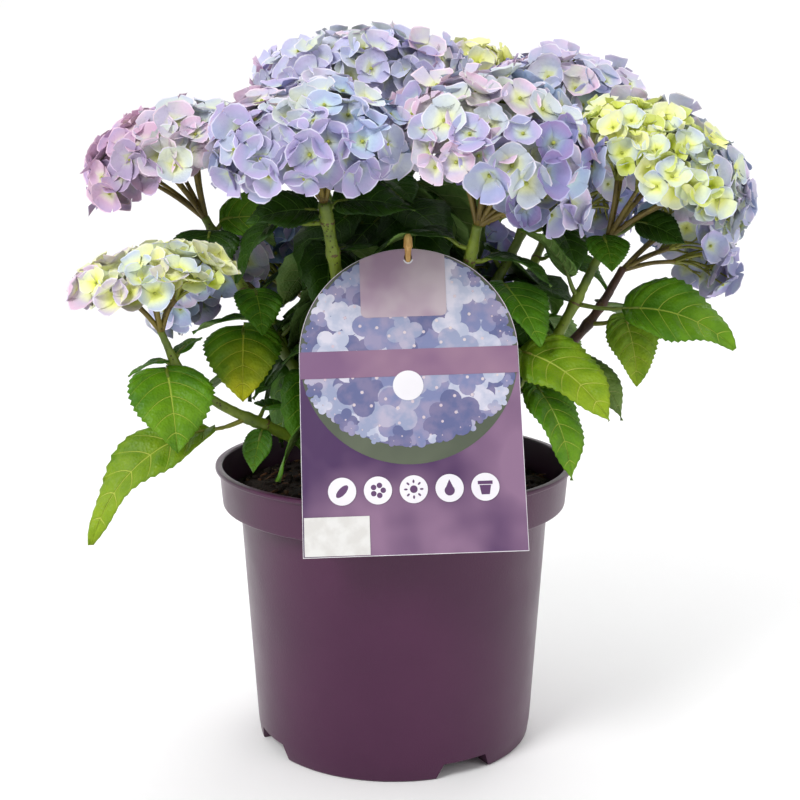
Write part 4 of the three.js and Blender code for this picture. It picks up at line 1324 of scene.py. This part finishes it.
# %% Tones round each head
# Tones that face down, such as violet on the skirts, are painted shade; pale tones that face up are painted
# light.
HEAD_TONES = {
    "front_left": (
        ("dawn", 190, 40), ("cream", 255, 60), ("lilac", 240, 30), ("lilac", 270, -5), ("sky", 335, 25),
        ("pale_lilac", 0, 55), ("lilac", 230, -45), ("violet", 270, -65)),
    "front_right": (
        ("dawn", 200, 25), ("cream", 265, 35), ("dawn", 285, 10), ("pale_lilac", 0, 45), ("lilac", 255, -35),
        ("sky", 320, -45), ("violet", 320, -20), ("sky", 70, 60)),
    "front_right_cluster": (
        ("young_sky", 250, 40), ("sky", 270, -10), ("pale_lilac", 290, 30), ("lilac", 330, -40),
        ("violet", 250, -60)),
    "left_low": (
        ("young", 0, 50), ("young", 270, 60), ("young_lilac", 185, 20), ("young", 255, 20),
        ("young_lilac", 250, -10), ("young_sky", 300, 10), ("dawn", 195, -20), ("lime", 0, -10)),
    "left_high": (
        ("pink", 185, 0), ("pink", 200, 50), ("dawn", 290, 30), ("cream", 330, 50), ("mauve", 265, -40)),
    "right_high": (
        ("lime", 180, 75), ("young", 235, 50), ("lime", 265, 25), ("young_sky", 270, -10),
        ("young_sky", 330, 30), ("pale_lilac", 345, -25), ("sky", 0, 0), ("pale_lilac", 20, 25)),
    "right_low": (
        ("violet", 270, -30), ("lilac", 0, -10), ("teal", 210, 10), ("lilac", 310, -40),
        ("pale_lilac", 280, 50), ("young_sky", 330, 45), ("pale_lilac", 20, 40)),
    "top": (
        ("pale_sky", 270, 30), ("cream", 250, 55), ("dawn", 160, 40), ("pale_lilac", 0, 45),
        ("lilac", 90, 30), ("pale_sky", 230, 0), ("pale_sky", 300, 10), ("dawn", 300, 60), ("cream", 0, 80)),
    "right_top": (
        ("pale_lilac", 270, 30), ("sky", 90, 30), ("pale_lilac", 0, 50), ("dawn", 250, 60), ("sky", 330, 10)),
    "left_back": (("pale_lilac", 200, 30), ("sky", 270, -10), ("pale_lilac", 270, 40), ("lilac", 90, 0)),
    "back_left_low": (("teal", 270, 0), ("violet", 90, 0), ("lilac", 180, 30)),
    "back_low": (("lilac", 90, 0), ("violet", 90, -40), ("pale_lilac", 90, 60), ("violet", 270, 0)),
    "back_top": (("young", 0, 85), ("young_sky", 90, 0), ("young_lilac", 270, 0)),
    "back_left_high": (("lilac", 120, 20), ("dawn", 180, 40), ("sky", 60, 20), ("pale_lilac", 90, 70)),
    "back_right": (("lilac", 45, 0), ("sky", 90, 50), ("violet", 0, -20), ("pale_lilac", 20, 60)),
}
TONE_CHANCE = 1.25
LIFTED_SKIRTS = {"left_low": 74, "right_high": 90, "left_high": 96, "right_low": 84, "front_right": 95}


def tone_for(tones, offset, draw):
    scores = [(float(offset @ pointing(heading, pitch)) + TONE_CHANCE * draw(), tone)
              for tone, heading, pitch in tones]
    return max(scores)[1]


print("heads and clusters with their tones:", len(HEAD_TONES))

# %% Where florets sit on a head
FLORET_AREA = 205
SKIRT_ANGLE = 104
SKIRT_SHARE = 0.7
GOLDEN_ANGLE = 137.508
HEAD_INSET = 5.0
TOP_INSET = 7.0
NEARLY_UP = 0.9


def on_head(head, polar, turn, share=1.0):
    """A point on the cap of a head, and the way that the cap faces there"""
    axis, across, beside = head_frame(head)
    out, up = sin(radians(polar)), cos(radians(polar))
    radius, rise = head.radius - HEAD_INSET, head.rise - TOP_INSET
    rise *= 1 if up > 0 else SKIRT_SHARE
    around = across * cos(radians(turn)) + beside * sin(radians(turn))
    place = np.array(head.centre) + (around * radius * out + axis * rise * up) * share
    return place, unit(around * out / radius + axis * up / rise)


def stand_on(points, place, facing, spin):
    """Turns points so that their z is the way they face, and sets them at a place"""
    reference = UP if abs(facing[2]) < NEARLY_UP else np.array([1.0, 0.0, 0.0])
    across = unit(np.cross(reference, facing))
    beside = np.cross(facing, across)
    x, y = turned(points[:, :1], points[:, 1:2], spin)
    return place + x * across + y * beside + points[:, 2:] * facing


print("space of one floret:", FLORET_AREA, "square millimetres")

# %% Grow the florets
LIME_REACH, YOUNG_REACH, OPEN_REACH = 6.5, 9.9, 12.3
BUD_SIZE = 0.095
BUD_LIFT = 0.07
PEDICEL_DEPTH = 8
PEDICEL_RADII = np.array([0.8, 0.6, 0.55, 0.75])
YOUNG_TONES = ("lime", "young", "young_lilac", "young_sky")
sepal_map = np.stack([0.5 + 0.5 * sepal_shape.points[:, 0], sepal_shape.points[:, 1]], axis=-1)


def floret_form(tone, draw):
    """The reach of a floret's sepals and how deep they are dished"""
    if tone == "lime":
        return LIME_REACH * (0.8 + 0.4 * draw()), 0.75
    if tone in YOUNG_TONES:
        return YOUNG_REACH * (0.85 + 0.35 * draw()), 0.55
    return OPEN_REACH * (0.82 + 0.32 * draw()), 0.2 + 0.55 * draw() ** 1.5


def grow_floret(blossoms, twigs, tone, place, facing, joints, draw):
    size, cup = floret_form(tone, draw)
    spin = draw() * tau
    for petal in bend_sepals(size, cup, draw):
        blossoms.add(sepal_shape, stand_on(petal, place, facing, spin), petal_number[tone], sepal_map)
    bud = bud_shape.points * size * BUD_SIZE
    bud[:, 2] += size * BUD_LIFT
    blossoms.add(bud_shape, stand_on(bud, place, facing, 0), BUD)
    joint = joints[np.argmin(np.linalg.norm(joints - (place - facing * PEDICEL_DEPTH), axis=1))]
    pedicel = Route([joint, (joint + place) / 2 + facing * 1.0, place - facing * 0.3])
    twigs.add(*bend_tube(pedicel, np.linspace(0, 1, 4), PEDICEL_RADII, 5), RAY)


print("reach of lime, young and open florets:", LIME_REACH, YOUNG_REACH, OPEN_REACH)

# %% Grow the rays
MAIN_RAYS = ((72, 6, 0), (20, 1, 40))
RAY_SPREAD = ((14, 0), (-8, 24), (-8, -24), (-34, 8))
RAY_SHARES = np.linspace(0, 1, 8)
MAIN_RADII = 1.7 - 0.5 * RAY_SHARES
FINE_RADII = 1.15 - 0.4 * RAY_SHARES
FIRST_TURN = 20
ELBOW_DEPTH, JOINT_DEPTH = 0.5, 0.66
LEAST_POLAR = 4
MAIN_LIFT, FINE_LIFT = 1.5, 1.2


def grow_rays(twigs, name, head):
    """A few main rays from the fork, each parting into finer ones that end in joints"""
    fork = routes[name].at(1.0)
    ahead = routes[name].along(1.0)
    joints = []
    for polar, count, first in MAIN_RAYS:
        widening = 2.4 if count == 1 else 1
        for i in range(count):
            turn = first + i * 360 / count + FIRST_TURN
            elbow, _ = on_head(head, polar, turn, ELBOW_DEPTH)
            elbow = fork + (elbow - fork) * 0.7 + ahead * MAIN_LIFT
            main = Route([fork - ahead * MAIN_LIFT, fork + (elbow - fork) * 0.5 + ahead * MAIN_LIFT, elbow])
            twigs.add(*bend_tube(main, RAY_SHARES, MAIN_RADII, 8), BROWN_RAY)
            for tilt, swing in RAY_SPREAD:
                joint, _ = on_head(head, max(polar + tilt, LEAST_POLAR), turn + swing * widening, JOINT_DEPTH)
                bend = elbow + (joint - elbow) * 0.5 + ahead * FINE_LIFT
                fine = Route([elbow - (elbow - fork) * 0.06, bend, joint])
                twigs.add(*bend_tube(fine, RAY_SHARES, FINE_RADII, 6), RAY)
                joints.append(joint)
    return np.array(joints)


print("joints under a head:", sum(rays[1] for rays in MAIN_RAYS) * len(RAY_SPREAD))

# %% Grow the flower heads
LAYER_DEPTHS = (1.0, 0.84)
YOUNG_CROWDING = 0.55
FLORET_SCATTER = 8
FACING_SCATTER = 0.8
HEAD_GAP = 7


def grow_head(blossoms, twigs, name, part, others):
    """Two layers of florets in a golden spiral; part 0 is the head, and part 1 its small cluster"""
    known = SHOOTS[name]
    head = known["heads"][part]
    draw = seeded(known["seed"] + HEAD_SEED)
    joints = grow_rays(twigs, name, head)
    tones = HEAD_TONES[f"{name}_cluster" if part else name]
    share = 1 - cos(radians(LIFTED_SKIRTS.get(name, SKIRT_ANGLE)))
    area = FLORET_AREA * (YOUNG_CROWDING if known["slot"] == "flower_yellow" else 1)
    full = round(pi * share * head.radius * (head.radius + head.rise) / area)
    for layer, count in enumerate((full, full // 2)):
        for i in range(count):
            polar = degrees(acos(1 - share * (i + 0.5) / count))
            place, facing = on_head(head, polar, i * GOLDEN_ANGLE + 60 * layer, LAYER_DEPTHS[layer])
            place = place + facing * (draw() - 0.5) * FLORET_SCATTER
            tone = tone_for(tones, unit(place - np.array(head.centre)), draw)
            facing = unit(facing + (np.array([draw(), draw(), draw()]) - 0.5) * FACING_SCATTER)
            if not any(within(other, place, HEAD_GAP) for other in others):
                grow_floret(blossoms, twigs, tone, place, facing, joints, draw)


KINDS = ("flower_lilac", "flower_pink", "flower_yellow", "flower_blue")
blossom_heaps = {kind: Heap(kind.replace("flower", "florets"), petal_finishes, kind) for kind in KINDS}
ray_heap = Heap("flower_stalks", stem_finishes, "stem")
grown = []
for name, known in SHOOTS.items():
    for part in range(len(known["heads"])):
        grow_head(blossom_heaps[known["slot"]], ray_heap, name, part, grown)
    grown.append(known["heads"][0])
for kind, heap in blossom_heaps.items():
    heap.build(*[f"flower_{name}" for name, known in SHOOTS.items() if known["slot"] == kind])
ray_heap.build()

# %% [markdown]
# ## Label
#
# A laminated card with a round top leans on the pot's lip and hangs by a slot from a wooden
# stick. Its face has a bare patch round the slot, a round window of simple blossoms, a band, a
# row of white discs with plain garden signs and a blank sticker. Each colour is a thin sheet cut
# to its shape and laid on the card, as if it had been printed in layers.

# %% Card and stick places
CARD_WIDTH = 127.0
CARD_HEIGHT = 180.0
CARD_THICKNESS = 0.9
CARD_LEAN = 23.3
CARD_ROLL = 2.0
CARD_BOTTOM_BELOW_LIP = 25.0
CARD_GAP = 0.35
STICK_TOP = Vector((8.6, -55.1, 331.0))
STICK_AT_SOIL = Vector((8.6, -80.0, 160.0))


def card_matrix():
    lean = radians(CARD_LEAN)
    contact = -(LIP_RADIUS + CARD_GAP) - CARD_THICKNESS / cos(lean)
    bottom_y = contact - CARD_BOTTOM_BELOW_LIP * tan(lean) + CARD_THICKNESS
    place = Matrix.Translation((CARD_MIDDLE_X, bottom_y, POT_HEIGHT - CARD_BOTTOM_BELOW_LIP))
    tilt = Matrix.Rotation(pi / 2 - lean, 4, "X")
    return place @ tilt @ Matrix.Rotation(radians(CARD_ROLL), 4, "Z")


card_place = card_matrix()
card_away = card_place.to_3x3() @ Vector((0, 0, 1))
stick_ahead = (STICK_TOP - STICK_AT_SOIL).normalized()
to_card = (card_place.translation - STICK_AT_SOIL).dot(card_away) / stick_ahead.dot(card_away)
crossing = STICK_AT_SOIL + stick_ahead * to_card
slot_x, slot_y, _ = card_place.inverted() @ crossing
print("slot on the card at", round(slot_x, 1), round(slot_y, 1))

# %% Flat shapes for the card
ARCH_STEPS = 128
PRINT_INSET = 0.3
SLOT_LENGTH = 6.4
SLOT_WIDTH = 4.6
SLOT_STEPS = 40


def trim(bm, place, away):
    """Takes off what lies beyond a line through a place"""
    bmesh.ops.bisect_plane(bm, geom=bm.verts[:] + bm.edges[:] + bm.faces[:], plane_co=place, plane_no=away,
                           clear_outer=True)


def move(bm, made, x, y, shape, lift=0.0):
    bmesh.ops.transform(bm, matrix=Matrix.Translation((x, y, lift)) @ shape, verts=made)


def card_outline(bm, inset=PRINT_INSET):
    """Straight sides and a round top: half a disc whose straight edge is drawn down"""
    half = CARD_WIDTH / 2 - inset
    high = CARD_HEIGHT - inset - half
    bmesh.ops.create_circle(bm, cap_ends=True, segments=ARCH_STEPS, radius=half)
    trim(bm, (0, 0, 0), (0, -1, 0))
    straight = [edge for edge in bm.edges if all(abs(v.co.y) < 0.001 for v in edge.verts)]
    drawn = bmesh.ops.extrude_edge_only(bm, edges=straight)
    bmesh.ops.translate(bm, verts=vertices(drawn), vec=(0, inset - high, 0))
    bmesh.ops.dissolve_edges(bm, edges=straight)
    bmesh.ops.translate(bm, verts=bm.verts[:], vec=(0, high, 0))


def disc(bm, x, y, radius, steps=40, stretch=1.0, turn=0.0, lift=0.0):
    made = bmesh.ops.create_circle(bm, cap_ends=True, segments=steps, radius=radius)["verts"]
    shape = Matrix.Rotation(turn, 4, "Z") @ Matrix.Diagonal((stretch, 1, 1, 1))
    move(bm, made, x, y, shape, lift)


def panel(bm, x, y, wide, high, taper=1.0):
    made = bmesh.ops.create_grid(bm, x_segments=1, y_segments=1, size=0.5)["verts"]
    for v in made:
        v.co.x *= taper if v.co.y < 0 else 1
    move(bm, made, x, y, Matrix.Diagonal((wide, high, 1, 1)))


def slot_cutter():
    bm = bmesh.new()
    radius = SLOT_WIDTH / 2
    made = bmesh.ops.create_cone(bm, cap_ends=True, segments=SLOT_STEPS, radius1=radius, radius2=radius,
                                 depth=20)
    move(bm, made["verts"], slot_x, slot_y, Matrix.Diagonal((1, SLOT_LENGTH / SLOT_WIDTH, 1, 1)))
    bmesh.ops.transform(bm, matrix=card_place, verts=bm.verts[:])
    return object_from(bm, "slot")


def sheet(name, lift, thickness, finish, draw_on, slotted=False, nodes=()):
    """A flat drawing given its thickness and laid on the card"""
    bm = bmesh.new()
    draw_on(bm)
    up = bmesh.ops.extrude_face_region(bm, geom=bm.faces[:], use_keep_orig=True)
    bmesh.ops.translate(bm, verts=vertices(up), vec=(0, 0, thickness))
    bmesh.ops.recalc_face_normals(bm, faces=bm.faces[:])
    bmesh.ops.translate(bm, verts=bm.verts[:], vec=(0, 0, lift))
    bmesh.ops.transform(bm, matrix=card_place, verts=bm.verts[:])
    piece = object_from(bm, name)
    if slotted:
        cut_away(piece, slot_cutter())
    piece.data.materials.clear()
    piece.data.materials.append(finish.material)
    claim(piece, "label_card", *nodes)


print("slot:", SLOT_WIDTH, "by", SLOT_LENGTH, "mm")

# %% [markdown]
# Printed card under a clear film mirrors the bright room in soft patches. The coat gives the
# mirror, a shallow wide bump bends it, and the print itself is clouded a little, so that no
# colour field is perfectly even. On the purple ground and the top patch the lighter clouds and
# the turn to the lighter colour towards the right are a painted reflection of the room.

# %% Print finishes


def film(name, main, other, scale=16, sweep=0.0):
    """A clouded print under a clear coat; the sweep turns it to the other colour towards the right, as a
    painted highlight
    """
    finish = Finish(name, main, 0.35, Coat_Weight=0.5, Coat_Roughness=0.14)
    # The sweep to the right is a painted highlight: the room's reflection in the film drawn into the colour.
    painted_highlight_to_right = finish.sum("MULTIPLY", finish.parts(finish.place)[0], sweep)
    finish.cloud(finish.sum("ADD", finish.noise(scale, 3), painted_highlight_to_right), 0.42, 0.62, main, other)
    finish.bump(finish.noise(45, 2), 0.0005)
    return finish


def plain_paper(name, main, other):
    return grained(name, main, 0.7, (120, 4), (main, other), (700, 4), 0.0001, (0.4, 0.6))


print("print finishes ready")

# %% Card and its ground colours
PRINT = 0.05
FRONT = CARD_THICKNESS
sheet("label_board", 0, CARD_THICKNESS, plain_paper("card_core", "#d9d6dc", "#e6e4e8"),
      lambda bm: card_outline(bm, 0), True, ["label_card"])
# The ground's mauve clouds and its lightening to the right are a painted highlight of the room in the film,
# over the plum print.
sheet("label_ground", FRONT, PRINT, film("purple_print_painted_highlight", "#411f51", "#886886", 12, 1.5), card_outline, True)
sheet("label_back", -PRINT, PRINT, film("back_print", "#cfc6d6", "#d8d0de"), card_outline, True)
print("card:", CARD_WIDTH, "by", CARD_HEIGHT, "mm")

# %% Window of blossoms
WINDOW_X, WINDOW_Y, WINDOW_RADIUS = 0.0, 115.5, 64.1
WINDOW_SQUEEZE = 0.985
LEAFY_DEPTH = 12.0
BLOSSOM_GAP = 8.6
NARROW_GAP = BLOSSOM_GAP * 0.6
BLOSSOM_REACH = 15.0
ROOM_SHARE = 0.94
OVERHANG = 1.06
BLOSSOM_TONES = (("blossom_deep", "#5c628e", "#787296"), ("blossom_light", "#b0b6cc", "#d0cddb"),
                 ("blossom_mid", "#787fa8", "#928cac"), ("blossom_pale", "#929ab8", "#b0aac0"))
BLOSSOM_TRIES = 5000
BLOSSOM_STEP = 0.004
PETAL_STEP = 0.0009
TONE_STEP = 0.0005
BLOSSOM_THICKNESS = 0.12
EYE_THICKNESS = 0.3
UNDER_SHIFT = 5.0
WIDE_ROOM, LEAST_ROOM = 8, 3.4
CLEAR_BESIDE_SLOT, CLEAR_BELOW_SLOT = 17, 21


def blossom_places():
    """Scattered places inside the window with the room that each has for its petals"""
    draw = seeded(64)
    places = []
    for _ in range(BLOSSOM_TRIES):
        x, y = (draw() * 2 - 1) * WINDOW_RADIUS, (draw() * 2 - 1) * WINDOW_RADIUS
        low = WINDOW_RADIUS - (LEAFY_DEPTH if y < 0 else 0)
        inside = OVERHANG - hypot(x / WINDOW_RADIUS, y / low)
        room = min(WINDOW_RADIUS - hypot(x, y), low * inside)
        near_slot = abs(x - slot_x) < CLEAR_BESIDE_SLOT and y + WINDOW_Y > slot_y - CLEAR_BELOW_SLOT
        gap = BLOSSOM_GAP if room > WIDE_ROOM else NARROW_GAP
        if room > LEAST_ROOM and not near_slot and all(hypot(x - a, y - b) > gap for a, b, _ in places):
            places.append((x, y, min(room * WINDOW_SQUEEZE, BLOSSOM_REACH) / ROOM_SHARE))
    return places


def print_blossoms(bm, places, first):
    for number, (x, y, room) in enumerate(places[first::4]):
        size = room * (0.85 + 0.15 * sin(3.1 * number))
        for petal in range(4):
            turn = tau * petal / 4 + 1.7 * number
            disc(bm, WINDOW_X + x + 0.5 * size * cos(turn), WINDOW_Y + y + 0.5 * size * sin(turn),
                 0.42 * size, 14, 1.05, turn, BLOSSOM_STEP * number + PETAL_STEP * petal)


def print_eyes(bm, places):
    for x, y, room in places:
        disc(bm, WINDOW_X + x, WINDOW_Y + y, 0.06 * room, 8)


blossoms = blossom_places()
sheet("label_leafy", FRONT + PRINT, PRINT, film("leafy_print", "#4c5444", "#5e6652"),
      lambda bm: disc(bm, WINDOW_X, WINDOW_Y, WINDOW_RADIUS, 96, WINDOW_SQUEEZE), True)
sheet("label_window", FRONT + PRINT * 1.5, PRINT, film("window_print", "#555b88", "#716c92", 60),
      lambda bm: disc(bm, WINDOW_X, WINDOW_Y + UNDER_SHIFT, WINDOW_RADIUS - UNDER_SHIFT - 0.5, 96), True)
for level, (tone, *tones) in enumerate(BLOSSOM_TONES):
    sheet(f"label_{tone}", FRONT + PRINT * 2 + TONE_STEP * level, BLOSSOM_THICKNESS, film(tone, *tones, 110),
          lambda bm, level=level: print_blossoms(bm, blossoms, level))
sheet("label_eyes", FRONT + PRINT * 2, EYE_THICKNESS, film("eye_print", "#c9b8c4", "#d8cccc"),
      lambda bm: print_eyes(bm, blossoms))
print("printed blossoms:", len(blossoms))

# %% Patch, band, discs and sticker
BAND_Y, BAND_HEIGHT = 111.0, 16.0
DISC_Y, DISC_RADIUS, DISC_GAP = 37.0, 8.0, 20.3
PATCH_EDGES = (-27.0, 23.0, 138.5)
PATCH_ROUNDING = 3.5
BAND_DISC_BELOW = 13.6
STICKER = (-44, 11.7, 37, 22)
TOP_PRINT = FRONT + 0.46


def band(bm):
    panel(bm, 0, BAND_Y, CARD_WIDTH - 1, BAND_HEIGHT)


def top_patch(bm):
    """The upper part of the card's own outline, cut to a strip with two rounded corners below"""
    card_outline(bm)
    left, right, below = PATCH_EDGES
    for place, away in (((left, 0, 0), (-1, 0, 0)), ((right, 0, 0), (1, 0, 0)), ((0, below, 0), (0, -1, 0))):
        trim(bm, place, away)
    corners = [v for v in bm.verts if v.co.y < below + 0.01]
    bmesh.ops.bevel(bm, geom=corners, offset=PATCH_ROUNDING, segments=6, profile=0.5, affect="VERTICES",
                    material=-1)


def white_discs(bm):
    for i in range(5):
        disc(bm, (i - 2) * DISC_GAP, DISC_Y, DISC_RADIUS)
    disc(bm, -1, BAND_Y - BAND_DISC_BELOW, DISC_RADIUS + 0.8)


def sticker(bm):
    panel(bm, *STICKER)


def signs(bm):
    """Plain garden signs: a leaf, a blossom, a sun, a drop and a pot"""
    y = DISC_Y
    disc(bm, -2 * DISC_GAP, y, 2.1, 16, 2.2, 0.8)
    for petal in range(5):
        turn = tau * petal / 5
        disc(bm, -DISC_GAP + 3 * cos(turn), y + 3 * sin(turn), 1.6, 12)
    disc(bm, 0, y, 2.2, 20)
    for ray in range(8):
        turn = tau * ray / 8
        disc(bm, 4.5 * cos(turn), y + 4.5 * sin(turn), 0.6, 8, 1.8, turn)
    disc(bm, DISC_GAP, y - 1.4, 2.9, 24)
    disc(bm, DISC_GAP, y + 1.7, 3.3, 3, 0.8, 0, 0.004)
    panel(bm, 2 * DISC_GAP, y + 2.5, 8.4, 2)
    panel(bm, 2 * DISC_GAP, y - 1.6, 6.6, 5.4, 0.7)


sheet("label_band", TOP_PRINT, PRINT, film("band_print", "#78557a", "#96748c"), band)
# The patch's pale clouds and its lightening to the right are a painted reflection of the room in the film.
sheet("label_patch", TOP_PRINT, PRINT, film("patch_print_painted_reflection", "#a0869c", "#bdaeb6", 22, 1.0), top_patch, True)
sheet("label_discs", TOP_PRINT + PRINT, PRINT, film("white_print", "#e4e1e7", "#efedf1"), white_discs)
sheet("label_sticker", TOP_PRINT, PRINT, plain_paper("sticker_paper", "#cfcdca", "#dad9d7"), sticker)
sheet("label_signs", TOP_PRINT + PRINT * 2, PRINT, film("sign_print", "#563560", "#65436c"), signs)
print("pieces so far:", len([piece for piece in bpy.data.objects if piece.type == "MESH"]))

# %% Slot edge
EDGE_WIDTH = 0.9
EDGE_CUT = 1.5


def slot_edge(bm):
    """A narrow white edge of bare card under the slot"""
    width, length = SLOT_WIDTH + 2 * EDGE_WIDTH, SLOT_LENGTH + 2 * EDGE_WIDTH
    ring = bmesh.ops.create_circle(bm, cap_ends=True, segments=SLOT_STEPS, radius=SLOT_WIDTH / 2 + EDGE_WIDTH)
    move(bm, ring["verts"], slot_x, slot_y, Matrix.Diagonal((1, length / width, 1, 1)))
    trim(bm, (0, slot_y - EDGE_CUT, 0), (0, 1, 0))


sheet("label_slot_edge", TOP_PRINT + PRINT, PRINT, plain_paper("slot_paper", "#e8e5ea", "#f2f0f3"), slot_edge,
      True)
print("slot edge:", EDGE_WIDTH, "mm wide")

# %% [markdown]
# ## Stick
#
# The stick is turned from pale wood: a rounded tip above the slot, a thin neck that the card
# hangs on, and a plain round shaft that runs down behind the card into the compost.

# %% Stick
STICK_RADIUS = 2.8
NECK_RADIUS = 1.9
NECK_HALF = 4.6
STICK_DEPTH = 50
STICK_SIDES = 28


def label_stick():
    length = (STICK_TOP - STICK_AT_SOIL).length + STICK_DEPTH
    neck = (crossing - STICK_AT_SOIL).length + STICK_DEPTH
    below, above = neck - NECK_HALF, neck + NECK_HALF
    outline = rounded([
        (0, 0, 0), (1.2, 0, 0.5), (STICK_RADIUS, 7, 2), (STICK_RADIUS, below - 6, 3), (NECK_RADIUS, below, 2),
        (NECK_RADIUS, above, 1), (STICK_RADIUS * 0.8, above + 1.5, 1), (STICK_RADIUS, length - 8, 3),
        (STICK_RADIUS * 0.85, length - 2, 2), (STICK_RADIUS * 0.45, length, 1), (0, length, 0),
    ])
    bm = spun(outline, STICK_SIDES)
    turn = Vector((0, 0, 1)).rotation_difference(stick_ahead).to_matrix().to_4x4()
    foot = Matrix.Translation(STICK_TOP - stick_ahead * length)
    bmesh.ops.transform(bm, matrix=foot @ turn, verts=bm.verts[:])
    return object_from(bm, "wood_stick")


def stick_finish():
    finish = Finish("pale_wood", "#d3a35e", 0.6)
    grain = finish.noise(700, 4, (1, 1, 0.05))
    finish.cloud(grain, *GRAIN_SPAN, "#b98645", "#dfb675")
    finish.bump(grain, 0.0003)
    return finish


complete(label_stick(), 60, stick_finish(), "label_stick", "label_stick")
